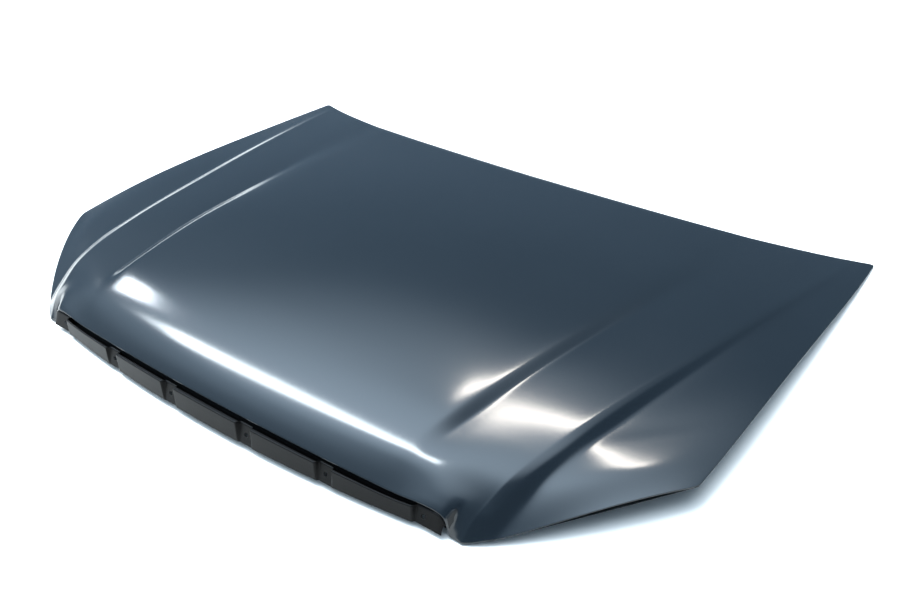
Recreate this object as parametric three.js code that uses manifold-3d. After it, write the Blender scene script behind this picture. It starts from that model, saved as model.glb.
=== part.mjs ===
// Car bonnet in bare primer, lying skin side up on a flat floor: a pressed outer skin hemmed round a
// pressed inner frame, with a grille rail under the front lip, hinge and latch reinforcements and a striker.
// Millimetres. X runs across the car, Y rearwards to the windscreen and Z up; X = 0 is the mirror plane.
// While it is worked out, Y = 0 is 6 mm behind the two front corners; the finished part is moved to its own
// origin, the bottom centre of its box.
import * as THREE from 'three';
import { mergeVertices } from 'three/addons/utils/BufferGeometryUtils.js';
import Module from 'manifold-3d';

const wasm = await Module();
wasm.setup();

// Plan outline
const REAR_HALF_WIDTH = 750;
const REAR_CENTRE_Y = 965;
const REAR_SWEEP = 108;
const REAR_HORN = 27;
const LIP_CENTRE_Y = -32;
const LIP_SWEEP = 28;
const FRONT_CORNER_X = 470;
const FRONT_CORNER_Y = -6;
const LIP_NOTCH_WIDTH = 30;
const LIP_END_INSET = 24;
const CORNER_EAR_WIDTH = 19;
const LAMP_CORNER_X = 709;
const LAMP_CORNER_Y = 252;
const LAMP_EDGE_POWER = 1.25;
const SIDE_BOW = 6;

// Places of the columns beside the ridge at the rear edge, from the ridge
const RIDGE_INNER_REARS = [-58, -44, -32, -16];
const SWAGE_REAR_OFFSET = 5.5;
const FOOT_REAR_OFFSET = 11;

// Places of the long pressed lines: distance from the centre at the front edge and at the rear edge
const CREASE_FRONT_X = 361;
const CREASE_REAR_X = 520;
const DOME_SHOULDER = 40;
const RIDGE_REAR_INSET = 44;
const SWAGE_WIDTH = 36;

// Heights of the long lines above the floor, as [place along Y, height]
const CENTRE_LINE = [[-32, 54], [-20, 69], [-6, 81], [15, 92], [45, 102.5], [100, 113], [200, 119],
  [330, 117], [650, 88], [965, 50]];
const SHOULDER_LINE = [[-16, 46], [-2, 62], [19, 80], [40, 89.5], [67, 97], [110, 104], [200, 107],
  [330, 103], [500, 87], [700, 65.5], [850, 47.5], [1010, 29.5]];
const CREASE_LINE = [[-13, 43], [5, 57], [25, 69], [50, 79], [80, 85], [105, 87.5], [184, 91],
  [308, 91], [462, 80], [645, 64], [865, 41], [1030, 24]];
const RIDGE_LINE = [[0, 20], [10, 30], [42, 50], [74, 67], [107, 77], [181, 82], [300, 80], [465, 69],
  [700, 48], [900, 27], [1060, 10]];
const SWAGE_FOOT_LINE = [[18, 9], [60, 34], [100, 53], [142, 62], [208, 66], [304, 64], [460, 57], [700, 41],
  [900, 23], [1063, 8]];
const SIDE_LINE = [[252, 42], [422, 45], [580, 40], [775, 27], [1024, 8], [1097, 3]];

// Section between the long lines: slopes, and the drop of the ridge band down to the swage
const CREASE_APPROACH = 1.35;
const BAND_START_SLOPE = -0.05;
const BAND_END_SLOPE = -0.12;
const BAND_NOSE_REACH = 45;
const SWAGE_DROP_SHARE = 0.3;
const FLANK_SLOPES_FRONT = [0.35, 0.05];
const FLANK_SLOPES_REAR = [-0.12, -0.19];
const FLANK_CHANGE_SHARE = 0.2;

// Front corners turned down to the floor, and the rolled rear edge
const CORNER_HEIGHT = 3;
const CORNER_REACH_SHARE = 0.036;
const REAR_ROLL_SHARE = 0.02;
const EDGE_ROLL = 2.5;

// Sheet metal
const SKIN_SHEET = 0.8;
const FRAME_SHEET = 0.7;
const RAIL_SHEET = 1;
const SEAM = 0.3;
const HEM_WIDTH = 10;
const FLANGE_WIDTH = 20;

// Inner frame
const RIB_DEPTH = 22;
const LAMP_RIB_DEPTH = 13;
const WINDOW_FLANGE_DEPTH = 4;
const FLOOR_CLEARANCE = 12;
const BEAM_BELOW_LIP = 2;
const CENTRE_RIB_WIDTH = 48;
const CENTRE_RIB_WALL = 20;
const CREASE_RIB_INNER = 40;
const CREASE_RIB_OUTER = 21;
const RIB_WALL = 16;
const MASTIC_FLANGE = 15;

// Grille rail
const RAIL_HALF_LENGTH = 442;
const RAIL_END_ROUNDING = 7;
const RAIL_STANDOFF = 14;
const RAIL_END_STANDOFF = 7;
const RAIL_BELOW_LIP = 2;
const RAIL_GROOVE_AHEAD = 2;
const RAIL_GROOVE_DEPTH = 8;
const RAIL_FOOT_CENTRE = 12;
const RAIL_FOOT_END = 9;
const RAIL_SEAT_DEPTH = 18;
const RAIL_SEAT_BEHIND_BEAM = 3;
const RAIL_STEP_LENGTH = 8;
const RAIL_STEP_DROP = 2;
const RAIL_FREE_STATIONS = [0.35, 0.7];
const PAD_CENTRES = [87, 243, 409];
const PAD_WIDTH = 24;
const PAD_WALL = 4;
const PAD_TOP_RECESS = 9;
const PAD_FOOT_RECESS = 1.5;
const PAD_TOP_DROP = 3;
const PAD_HOLE_DIAMETER = 7;
const PAD_HOLE_HEIGHT_SHARE = 0.5;

// Hinge plates and their weld nuts
const HINGE_PLATE_LENGTH = 96;
const HINGE_PLATE_WIDTH = 46;
const HINGE_PLATE_THICKNESS = 2.5;
const HINGE_BOLT_SPACING = 56;
const HINGE_OFFSET = 10;
const HINGE_ROW_SHARES = [0.88, 0.968];
const BOLT_HOLE_DIAMETER = 9;
const NUT_ACROSS_CORNERS = 15;
const NUT_HEIGHT = 6.5;
const THREAD_DIAMETER = 8;

// Latch plate and striker
const LATCH_PLATE_WIDTH = 120;
const LATCH_PLATE_DEPTH = 42;
const LATCH_PLATE_THICKNESS = 1.5;
const STRIKER_PLATE_WIDTH = 84;
const STRIKER_PLATE_DEPTH = 28;
const STRIKER_PLATE_THICKNESS = 2.5;
const STRIKER_BOLT_SPACING = 66;
const STRIKER_ROD_DIAMETER = 8;
const STRIKER_LOOP_WIDTH = 34;
const STRIKER_LOOP_DROP = 34;
const STRIKER_BEND_RADIUS = 10;
const BOLT_HEAD_HEIGHT = 5;
const BOLT_STICK_OUT = 8;
const BOLT_HEAD_OVERLAP = 0.5;

// Mastic pads between the skin and the inner frame
const MASTIC_WIDTH = 10;
const MASTIC_LENGTH_SHARE = 0.6;
const MASTIC_GAP = 0.4;

// Working values: points this close are one point, drills are this long, and seats are felt out in passes
const WELD_DISTANCE = 1e-4;
const DRILL_LENGTH = 30;
const SEAT_PASSES = 3;

/** Smooth curve through [position, value] stations, continued straight past its ends. */
function curve(stations) {
  const slopes = stations.map((station, index) => {
    const before = stations[Math.max(index - 1, 0)];
    const after = stations[Math.min(index + 1, stations.length - 1)];
    return (after[1] - before[1]) / (after[0] - before[0]);
  });
  return (position) => {
    let index = 0;
    while (index < stations.length - 2 && position > stations[index + 1][0]) {
      index += 1;
    }
    const [x0, y0] = stations[index];
    const [x1, y1] = stations[index + 1];
    if (position < x0) {
      return y0 + slopes[index] * (position - x0);
    }
    if (position > x1) {
      return y1 + slopes[index + 1] * (position - x1);
    }
    return hermite(y0, slopes[index], y1, slopes[index + 1], x1 - x0, (position - x0) / (x1 - x0));
  };
}

/** Cubic from y0 with slope m0 to y1 with slope m1 over a length, at the share q of it. */
function hermite(y0, m0, y1, m1, length, q) {
  const q2 = q * q;
  const q3 = q2 * q;
  return (2 * q3 - 3 * q2 + 1) * y0 + (q3 - 2 * q2 + q) * length * m0
    + (3 * q2 - 2 * q3) * y1 + (q3 - q2) * length * m1;
}

const lerp = THREE.MathUtils.lerp;
const centreHeight = curve(CENTRE_LINE);
const shoulderHeight = curve(SHOULDER_LINE);
const creaseHeight = curve(CREASE_LINE);
const ridgeHeight = curve(RIDGE_LINE);
const footHeight = curve(SWAGE_FOOT_LINE);
const sideHeight = curve(SIDE_LINE);

/** Front edge in plan: the lip sweeps back to the front corner, then the lamp edge runs to the side. */
function frontEdgeY(x) {
  if (x <= FRONT_CORNER_X) {
    const share = Math.min(x / (FRONT_CORNER_X - LIP_NOTCH_WIDTH), 1);
    const corner = Math.max(0, 1 - (FRONT_CORNER_X - x) / LIP_NOTCH_WIDTH);
    return lerp(LIP_CENTRE_Y + LIP_SWEEP * share * share, FRONT_CORNER_Y, corner);
  }
  const share = (x - FRONT_CORNER_X) / (LAMP_CORNER_X - FRONT_CORNER_X);
  return lerp(FRONT_CORNER_Y, LAMP_CORNER_Y, share ** LAMP_EDGE_POWER);
}

/** Rear edge in plan: a shallow sweep that turns back into two horns. */
function rearEdgeY(x) {
  const share = x / REAR_HALF_WIDTH;
  return REAR_CENTRE_Y + REAR_SWEEP * share ** 2 + REAR_HORN * share ** 6;
}

// Columns of the lattice over the right half, each as its distance from the centre at the front edge and at
// the rear edge, with what the inner frame does along it: rib bottom, flange beside a window, window, or hem
const RIDGE_REAR_X = REAR_HALF_WIDTH - RIDGE_REAR_INSET;
const creaseColumn = (offset, role) => ({
  front: CREASE_FRONT_X + offset, rear: CREASE_REAR_X + offset, role,
});
const ridgeColumn = (front, rear, role) => ({
  front: FRONT_CORNER_X + front, rear: RIDGE_REAR_X + rear, role,
});
const sideColumn = (inset, frontInset, role) => ({
  front: LAMP_CORNER_X - frontInset, rear: REAR_HALF_WIDTH - inset, role,
});
const centreRibEdge = CENTRE_RIB_WIDTH / 2 + CENTRE_RIB_WALL;
const domeEdge = creaseColumn(-CREASE_RIB_INNER - RIB_WALL - MASTIC_FLANGE, 'flange');
const between = (inner, outer, share, role) => ({
  front: lerp(inner.front, outer.front, share), rear: lerp(inner.rear, outer.rear, share), role,
});
const centreEdge = { front: centreRibEdge, rear: centreRibEdge, role: 'flange' };
const footColumn = { ...ridgeColumn(SWAGE_WIDTH, FOOT_REAR_OFFSET, 'lamp'), knot: 'foot' };
const flangeFoot = sideColumn(FLANGE_WIDTH, FLANGE_WIDTH - 1, 'hem');
const columns = [
  { front: 0, rear: 0, role: 'rib', knot: 'centre' },
  { front: CENTRE_RIB_WIDTH / 2, rear: CENTRE_RIB_WIDTH / 2, role: 'rib' },
  centreEdge,
  between(centreEdge, domeEdge, 0.25, 'window'),
  between(centreEdge, domeEdge, 0.5, 'window'),
  between(centreEdge, domeEdge, 0.75, 'window'),
  domeEdge,
  creaseColumn(-CREASE_RIB_INNER - RIB_WALL, 'flange'),
  { ...creaseColumn(-DOME_SHOULDER, 'crease rib'), knot: 'shoulder' },
  { ...creaseColumn(0, 'crease rib'), knot: 'crease' },
  creaseColumn(CREASE_RIB_OUTER, 'crease rib'),
  creaseColumn(CREASE_RIB_OUTER + RIB_WALL, 'flange'),
  ridgeColumn(-LIP_NOTCH_WIDTH, RIDGE_INNER_REARS[0], 'flange'),
  ridgeColumn(-LIP_END_INSET, RIDGE_INNER_REARS[1], 'lamp'),
  ridgeColumn(-CORNER_EAR_WIDTH, RIDGE_INNER_REARS[2], 'lamp'),
  ridgeColumn(-CORNER_EAR_WIDTH / 2, RIDGE_INNER_REARS[3], 'lamp'),
  { ...ridgeColumn(0, 0, 'lamp'), knot: 'ridge' },
  { ...ridgeColumn(SWAGE_WIDTH / 2, SWAGE_REAR_OFFSET, 'lamp'), knot: 'swage' },
  footColumn,
  between(footColumn, flangeFoot, 0.3, 'lamp'),
  between(footColumn, flangeFoot, 0.65, 'lamp'),
  flangeFoot,
  sideColumn(HEM_WIDTH, HEM_WIDTH - 1, 'hem'),
  { ...sideColumn(0, 0, 'hem'), knot: 'side' },
];

// Rows of the lattice as shares of the way from the front edge to the rear edge
const rows = [
  [0, 'hem'], [0.01, 'hem'], [0.021, 'hem'],
  [0.036, 'beam'], [0.06, 'beam'], [0.085, 'beam'], [0.11, 'beam'], [0.15, 'flange'],
  [0.21, 'window'], [0.27, 'window'], [0.33, 'window'], [0.39, 'window'], [0.45, 'flange'],
  [0.475, 'rib'], [0.52, 'rib'], [0.545, 'flange'], [0.605, 'window'], [0.665, 'window'], [0.725, 'window'],
  [0.79, 'window'], [0.855, 'flange'], [0.88, 'rib'], [0.925, 'rib'], [0.968, 'rib'], [0.98, 'hem'],
  [0.99, 'hem'], [1, 'hem'],
].map(([share, role]) => ({ share, role }));
const LAST_COLUMN = columns.length - 1;
const LAST_ROW = rows.length - 1;
const LAST_SIGNED = 2 * LAST_COLUMN;
const knot = (name) => columns.find((column) => column.knot === name);

/** Place in plan of a column at a share of the way back. */
function planPoint(column, share) {
  const bow = SIDE_BOW * Math.min(1, column.front / CREASE_FRONT_X) * (1 - (2 * share - 1) ** 4);
  return {
    x: lerp(column.front, column.rear, share) + bow,
    y: lerp(frontEdgeY(column.front), rearEdgeY(column.rear), share),
  };
}

/** Height of the outer surface over a column: the section between the pressed lines at this share. */
function surfaceHeight(column, share) {
  const point = planPoint(column, share);
  const line = (name, height) => {
    const place = planPoint(knot(name), share);
    return { x: place.x, y: place.y, z: height(place.y) };
  };
  const centre = line('centre', centreHeight);
  const shoulder = line('shoulder', shoulderHeight);
  const crease = line('crease', creaseHeight);
  const ridge = line('ridge', ridgeHeight);
  const foot = line('foot', footHeight);
  const side = line('side', sideHeight);
  const swage = planPoint(knot('swage'), share);
  const across = (from, to) => (point.x - from.x) / (to.x - from.x);
  let height;
  if (point.x <= shoulder.x) {
    height = centre.z + (shoulder.z - centre.z) * across(centre, shoulder) ** 2;
  } else if (point.x <= crease.x) {
    const crown = 2 * (shoulder.z - centre.z) / shoulder.x;
    const steep = CREASE_APPROACH * (crease.z - shoulder.z) / (crease.x - shoulder.x);
    height = hermite(shoulder.z, crown, crease.z, steep, crease.x - shoulder.x, across(shoulder, crease));
  } else if (point.x <= ridge.x) {
    const fall = BAND_END_SLOPE - Math.exp(-Math.max(ridge.y, 0) / BAND_NOSE_REACH);
    height = hermite(crease.z, BAND_START_SLOPE, ridge.z, fall, ridge.x - crease.x, across(crease, ridge));
  } else if (point.x <= swage.x) {
    height = ridge.z + SWAGE_DROP_SHARE * (foot.z - ridge.z) * across(ridge, swage);
  } else if (point.x <= foot.x) {
    const top = ridge.z + SWAGE_DROP_SHARE * (foot.z - ridge.z);
    height = lerp(top, foot.z, across(swage, foot));
  } else {
    const rear = THREE.MathUtils.smoothstep(share, 0, FLANK_CHANGE_SHARE);
    const [inner, outer] = FLANK_SLOPES_FRONT.map((slope, end) => lerp(slope, FLANK_SLOPES_REAR[end], rear));
    height = hermite(foot.z, inner, side.z, outer, side.x - foot.x, across(foot, side));
  }
  return height;
}

/** Point of the outer surface, with the front corner turned down to the floor and the rear edge rolled. */
function surfacePoint(column, share) {
  const point = planPoint(column, share);
  let height = surfaceHeight(column, share);
  const { smoothstep } = THREE.MathUtils;
  const turn = Math.max(0, 1 - share / CORNER_REACH_SHARE) ** 2;
  const notch = smoothstep(column.front, FRONT_CORNER_X - LIP_END_INSET, FRONT_CORNER_X - CORNER_EAR_WIDTH)
    * (1 - smoothstep(column.front, FRONT_CORNER_X, FRONT_CORNER_X + SWAGE_WIDTH));
  const frontHeight = surfaceHeight(column, 0);
  height -= turn * notch * (frontHeight - CORNER_HEIGHT);
  const rearRoll = Math.max(0, 1 - (1 - share) / REAR_ROLL_SHARE) ** 2;
  height -= EDGE_ROLL * rearRoll * (1 - column.rear / REAR_HALF_WIDTH);
  return new THREE.Vector3(point.x, point.y, height);
}

/** Column of a signed lattice index, 0 at the left side edge and LAST_SIGNED at the right one. */
const columnAt = (index) => columns[Math.abs(index - LAST_COLUMN)];

/** Lattice of points made from a rule for the signed column index and the row index. */
function lattice(rule) {
  return rows.map((row, j) => Array.from({ length: LAST_SIGNED + 1 }, (_, i) => rule(i, j)));
}

/** Unit normals of a lattice from its neighbours along and across. */
function latticeNormals(points) {
  const lastRow = points.length - 1;
  const lastColumn = points[0].length - 1;
  return points.map((line, j) => line.map((_, i) => {
    const along = line[Math.min(i + 1, lastColumn)].clone().sub(line[Math.max(i - 1, 0)]);
    const back = points[Math.min(j + 1, lastRow)][i].clone().sub(points[Math.max(j - 1, 0)][i]);
    return along.cross(back).normalize();
  }));
}

/** The same lattice set off against its normals. */
function offsetLattice(points, normals, depth) {
  return points.map((line, j) => line.map((point, i) => (
    point.clone().addScaledVector(normals[j][i], -depth))));
}

/** The lattice with its outermost points drawn inwards along the surface, for a layer inside the fold. */
function insetLattice(points, inset) {
  const lastRow = points.length - 1;
  const lastColumn = points[0].length - 1;
  const pull = (from, to) => new THREE.Vector3().subVectors(to, from).setLength(inset);
  return points.map((line, j) => line.map((point, i) => {
    const moved = point.clone();
    if (i === 0) {
      moved.add(pull(point, points[j][1]));
    }
    if (i === lastColumn) {
      moved.add(pull(point, points[j][lastColumn - 1]));
    }
    if (j === 0) {
      moved.add(pull(point, points[1][i]));
    }
    if (j === lastRow) {
      moved.add(pull(point, points[lastRow - 1][i]));
    }
    return moved;
  }));
}

/** Mesh writer: keeps points and triangles, and gives back a closed geometry. */
class Shell {
  constructor() {
    this.positions = [];
    this.triangles = [];
    this.layers = new Map();
  }

  /** Number of a lattice point in this shell. */
  index(layer, [i, j]) {
    if (!this.layers.has(layer)) {
      this.layers.set(layer, new Map());
    }
    const known = this.layers.get(layer);
    const key = `${i},${j}`;
    if (!known.has(key)) {
      known.set(key, this.positions.length / 3);
      const point = layer[j][i];
      this.positions.push(point.x, point.y, point.z);
    }
    return known.get(key);
  }

  /** Faces of a layer, upwards or downwards. */
  faces(layer, triangles, upwards) {
    for (const [a, b, c] of triangles) {
      const corners = upwards ? [a, b, c] : [a, c, b];
      this.triangles.push(...corners.map((node) => this.index(layer, node)));
    }
  }

  /** Wall along directed edges from an upper layer down to a lower one. */
  wall(edges, upper, lower) {
    for (const [a, b] of edges) {
      const aTop = this.index(upper, a);
      const bTop = this.index(upper, b);
      const aBottom = this.index(lower, a);
      const bBottom = this.index(lower, b);
      this.triangles.push(bTop, aTop, aBottom, bTop, aBottom, bBottom);
    }
  }

  geometry() {
    const geometry = new THREE.BufferGeometry();
    geometry.setAttribute('position', new THREE.Float32BufferAttribute(this.positions, 3));
    geometry.setIndex(this.triangles);
    return geometry;
  }
}

/** Edges of a set of triangles that no other triangle shares, in their own direction. */
function openEdges(triangles) {
  const edges = new Map();
  const key = ([ai, aj], [bi, bj]) => `${ai},${aj},${bi},${bj}`;
  for (const [a, b, c] of triangles) {
    for (const [from, to] of [[a, b], [b, c], [c, a]]) {
      if (edges.has(key(to, from))) {
        edges.delete(key(to, from));
      } else {
        edges.set(key(from, to), [from, to]);
      }
    }
  }
  return [...edges.values()];
}

/** Solid sheet between two layers over a set of triangles. */
function sheetGeometry(upper, lower, triangles) {
  const shell = new Shell();
  shell.faces(upper, triangles, true);
  shell.faces(lower, triangles, false);
  shell.wall(openEdges(triangles), upper, lower);
  return shell.geometry();
}

/** Corners of the cell between two columns and two rows, named from the middle of the car. */
function cellCorners(i, j) {
  const right = i >= LAST_COLUMN;
  const inner = right ? i : i + 1;
  const outer = right ? i + 1 : i;
  return {
    right,
    frontInner: [inner, j],
    frontOuter: [outer, j],
    rearInner: [inner, j + 1],
    rearOuter: [outer, j + 1],
  };
}

/** What the inner frame does in a cell: filled, window, or one corner of a window. */
function cellRole(i, j) {
  const { frontInner, frontOuter } = cellCorners(i, j);
  const inner = Math.abs(frontInner[0] - LAST_COLUMN);
  const outer = Math.abs(frontOuter[0] - LAST_COLUMN);
  const openAcross = (column) => {
    const wide = columns[column].role === 'window' || columns[column + 1].role === 'window';
    const slot = columns[column].role === 'flange' && columns[column + 1].knot === undefined
      && columns[column + 1].role === 'flange' && columns[column].front > CREASE_FRONT_X;
    return wide || slot;
  };
  const openAlong = rows[j].role === 'window' || rows[j + 1].role === 'window';
  if (!openAcross(inner) || !openAlong) {
    return 'filled';
  }
  if (columns[inner].front > CREASE_FRONT_X) {
    return 'window';
  }
  const atInner = columns[inner].role === 'flange';
  const atOuter = columns[outer].role === 'flange';
  const atFront = rows[j].role === 'flange';
  const atRear = rows[j + 1].role === 'flange';
  if (atFront && (atInner || atOuter)) {
    return atInner ? 'front inner corner' : 'front outer corner';
  }
  if (atRear && (atInner || atOuter)) {
    return atInner ? 'rear inner corner' : 'rear outer corner';
  }
  return 'window';
}

/** Triangles of one cell: both, or only those that the inner frame keeps. */
function cellTriangles(i, j, framed) {
  const { right, frontInner, frontOuter, rearInner, rearOuter } = cellCorners(i, j);
  const role = cellRole(i, j);
  const crossed = role === 'front inner corner' || role === 'rear outer corner';
  let triangles = crossed
    ? [[frontInner, frontOuter, rearInner], [frontOuter, rearOuter, rearInner]]
    : [[frontInner, frontOuter, rearOuter], [frontInner, rearOuter, rearInner]];
  if (framed && role !== 'filled') {
    const kept = {
      'front inner corner': 0, 'rear outer corner': 1, 'front outer corner': 0, 'rear inner corner': 1,
    };
    triangles = role === 'window' ? [] : [triangles[kept[role]]];
  }
  return right ? triangles : triangles.map(([a, b, c]) => [a, c, b]);
}

/** Triangles of every cell that passes a test. */
function latticeTriangles(framed, test = () => true) {
  const triangles = [];
  for (let j = 0; j < LAST_ROW; j += 1) {
    for (let i = 0; i < LAST_SIGNED; i += 1) {
      if (test(i, j)) {
        triangles.push(...cellTriangles(i, j, framed));
      }
    }
  }
  return triangles;
}

const inHem = (i, j) => i === 0 || i === LAST_SIGNED - 1 || j === 0 || j === LAST_ROW - 1;

/** The outer surface as a lattice, mirrored from its right half. */
const surface = lattice((i, j) => {
  const point = surfacePoint(columnAt(i), rows[j].share);
  return i < LAST_COLUMN ? point.setX(-point.x) : point;
});
const surfaceNormals = latticeNormals(surface);

// Depths of the layers in the hem, from the outer surface inwards
const UNDERSIDE = SKIN_SHEET;
const FLANGE_TOP = UNDERSIDE + SEAM;
const FLANGE_BOTTOM = FLANGE_TOP + FRAME_SHEET;
const RETURN_TOP = FLANGE_BOTTOM + SEAM;
const RETURN_BOTTOM = RETURN_TOP + SKIN_SHEET;

/** Outer skin: one sheet with its edge folded back under the flange of the inner frame all round. */
function makeSkin() {
  const underside = insetLattice(offsetLattice(surface, surfaceNormals, UNDERSIDE), SKIN_SHEET);
  const returnTop = insetLattice(offsetLattice(surface, surfaceNormals, RETURN_TOP), SKIN_SHEET);
  const returnBottom = offsetLattice(surface, surfaceNormals, RETURN_BOTTOM);
  const all = latticeTriangles(false);
  const hem = latticeTriangles(false, inHem);
  const outline = openEdges(all);
  const outlineKeys = new Set(outline.map(String));
  const tip = openEdges(hem).filter((edge) => !outlineKeys.has(String(edge)));
  const shell = new Shell();
  shell.faces(surface, all, true);
  shell.faces(underside, all, false);
  shell.faces(returnTop, hem, true);
  shell.faces(returnBottom, hem, false);
  shell.wall(outline, surface, returnBottom);
  shell.wall(outline, returnTop, underside);
  shell.wall(tip, returnTop, returnBottom);
  return shell.geometry();
}

/** Depth of the inner frame's upper side below the outer surface at a lattice point outside the hem. */
function frameDepth(i, j) {
  const column = columnAt(i);
  const row = rows[j];
  const height = surface[j][i].z;
  const deepRow = row.role === 'beam' || row.role === 'rib';
  let depth = WINDOW_FLANGE_DEPTH;
  if (column.role === 'lamp') {
    depth = LAMP_RIB_DEPTH;
  } else if (row.role === 'beam') {
    depth = height - surface[0][i].z + BEAM_BELOW_LIP;
  } else if (column.role === 'crease rib') {
    depth = RIB_DEPTH + height - surfaceHeight(knot('crease'), row.share);
  } else if (column.role === 'rib' || deepRow) {
    depth = RIB_DEPTH;
  }
  return Math.max(Math.min(depth, height - FLOOR_CLEARANCE), FLANGE_TOP + SEAM);
}

const isHemNode = (i, j) => columnAt(i).role === 'hem' || rows[j].role === 'hem';
const flangeClearance = SKIN_SHEET + 2 * SEAM;
const flangeTop = insetLattice(offsetLattice(surface, surfaceNormals, FLANGE_TOP), flangeClearance);
const flangeBottom = insetLattice(offsetLattice(surface, surfaceNormals, FLANGE_BOTTOM), flangeClearance);
const frameTop = lattice((i, j) => (isHemNode(i, j)
  ? flangeTop[j][i].clone()
  : surface[j][i].clone().setZ(surface[j][i].z - frameDepth(i, j))));
const frameNormals = latticeNormals(frameTop);
const frameBottom = lattice((i, j) => (isHemNode(i, j)
  ? flangeBottom[j][i].clone()
  : frameTop[j][i].clone().addScaledVector(frameNormals[j][i], -FRAME_SHEET)));

/** Point on a row of a layer at a distance from the centre. */
function rowPoint(layer, j, x) {
  const line = layer[j];
  let i = 0;
  while (i < line.length - 2 && line[i + 1].x < x) {
    i += 1;
  }
  const share = (x - line[i].x) / (line[i + 1].x - line[i].x);
  return line[i].clone().lerp(line[i + 1], share);
}

/** Solid from a geometry, and back. */
function solid(geometry) {
  const plain = geometry.clone();
  plain.deleteAttribute('normal');
  plain.deleteAttribute('uv');
  const merged = mergeVertices(plain, WELD_DISTANCE);
  const mesh = new wasm.Mesh({
    numProp: 3,
    vertProperties: new Float32Array(merged.attributes.position.array),
    triVerts: new Uint32Array(merged.index.array),
  });
  return new wasm.Manifold(mesh);
}

function fromSolid(body) {
  const mesh = body.getMesh();
  const geometry = new THREE.BufferGeometry();
  geometry.setAttribute('position', new THREE.Float32BufferAttribute(Array.from(mesh.vertProperties), 3));
  geometry.setIndex(Array.from(mesh.triVerts));
  return geometry;
}

/** The geometry with round holes: each as a centre, a direction, a diameter and a length. */
function drilled(geometry, holes) {
  let body = solid(geometry);
  for (const { centre, direction, diameter, length, sides = 12 } of holes) {
    const drill = new THREE.CylinderGeometry(diameter / 2, diameter / 2, length, sides);
    drill.applyMatrix4(placement(centre, direction));
    body = body.subtract(solid(drill));
  }
  return fromSolid(body);
}

/** Placement that stands a piece made along Y on a centre, with Y along a direction. */
function placement(centre, direction) {
  const upright = new THREE.Vector3(0, 1, 0);
  const turn = new THREE.Quaternion().setFromUnitVectors(upright, direction.clone().normalize());
  return new THREE.Matrix4().compose(centre, turn, new THREE.Vector3(1, 1, 1));
}

/** Flat seat against one side of a layer: its middle, axes and a plane that clears the points near it. */
function flatSeat(layer, centreX, firstRow, lastRow, reachX, side) {
  const points = [];
  for (let j = firstRow; j <= lastRow; j += 1) {
    for (let step = -2; step <= 2; step += 1) {
      points.push(rowPoint(layer, j, centreX + reachX * step / 2));
    }
  }
  const front = rowPoint(layer, firstRow, centreX);
  const rear = rowPoint(layer, lastRow, centreX);
  const left = rowPoint(layer, firstRow, centreX - reachX).add(rowPoint(layer, lastRow, centreX - reachX));
  const right = rowPoint(layer, firstRow, centreX + reachX).add(rowPoint(layer, lastRow, centreX + reachX));
  const across = right.sub(left).normalize();
  const normal = new THREE.Vector3().crossVectors(across, rear.clone().sub(front)).normalize();
  const back = new THREE.Vector3().crossVectors(normal, across);
  const middle = front.clone().lerp(rear, 0.5);
  const reach = points.map((point) => side * point.clone().sub(middle).dot(normal));
  middle.addScaledVector(normal, side * (Math.max(...reach) + SEAM));
  return { middle, across, back, normal, side };
}

/** Placement of a piece made in the seat's own axes: X across, Y back and Z along the normal. */
function seatMatrix(seat, lift = 0) {
  const matrix = new THREE.Matrix4().makeBasis(seat.across, seat.back, seat.normal);
  return matrix.setPosition(seat.middle.clone().addScaledVector(seat.normal, seat.side * lift));
}

/** Plate against a seat, drilled at the given distances from its middle. */
function seatedPlate(seat, lift, width, depth, thickness, holeOffsets) {
  const plate = new THREE.BoxGeometry(width, depth, thickness);
  plate.applyMatrix4(seatMatrix(seat, lift + thickness / 2));
  return drilled(plate, boltHoles(seat, holeOffsets));
}

/** Bolt holes along a seat's normal at distances from its middle. */
function boltHoles(seat, offsets) {
  return offsets.map((offset) => ({
    centre: seat.middle.clone().addScaledVector(seat.across, offset),
    direction: seat.normal,
    diameter: BOLT_HOLE_DIAMETER,
    length: DRILL_LENGTH,
  }));
}

/** Hexagon nut standing on a seat, with its thread left as a plain bore. */
function weldNut(seat, offset) {
  const nut = new THREE.CylinderGeometry(NUT_ACROSS_CORNERS / 2, NUT_ACROSS_CORNERS / 2, NUT_HEIGHT, 6);
  nut.applyMatrix4(new THREE.Matrix4().makeRotationX(Math.PI / 2));
  nut.applyMatrix4(seatMatrix(seat, NUT_HEIGHT / 2));
  nut.translate(...seat.across.clone().multiplyScalar(offset).toArray());
  return drilled(nut, [{
    centre: seat.middle.clone().addScaledVector(seat.across, offset),
    direction: seat.normal,
    diameter: THREAD_DIAMETER,
    length: DRILL_LENGTH,
  }]);
}

/** The seat moved along its normal until a nut on it stands one seam above a sheet. */
function nutSeat(seat, offset, sheet) {
  const lowered = { ...seat, side: 1, middle: seat.middle.clone().addScaledVector(seat.normal, NUT_HEIGHT) };
  for (let pass = 0; pass < SEAT_PASSES; pass += 1) {
    const gap = solid(weldNut(lowered, offset)).minGap(sheet, 2 * NUT_HEIGHT);
    lowered.middle.addScaledVector(seat.normal, SEAM - gap);
  }
  return lowered;
}

const finishes = {
  skin: { color: 0x3c4853, roughness: 0.3, metalness: 0.1 },
  inner: { color: 0x2a2d30, roughness: 0.45, metalness: 0.1 },
  zinc: { color: 0x8f9294, roughness: 0.4, metalness: 0.9 },
  mastic: { color: 0x1b1b1c, roughness: 0.8, metalness: 0 },
};
const bonnet = new THREE.Group();
bonnet.name = 'bonnet';

/** Puts a piece into the bonnet under its name. */
function addPiece(name, geometry, finish) {
  const mesh = new THREE.Mesh(geometry, new THREE.MeshStandardMaterial(finishes[finish]));
  mesh.name = name;
  bonnet.add(mesh);
}

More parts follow.
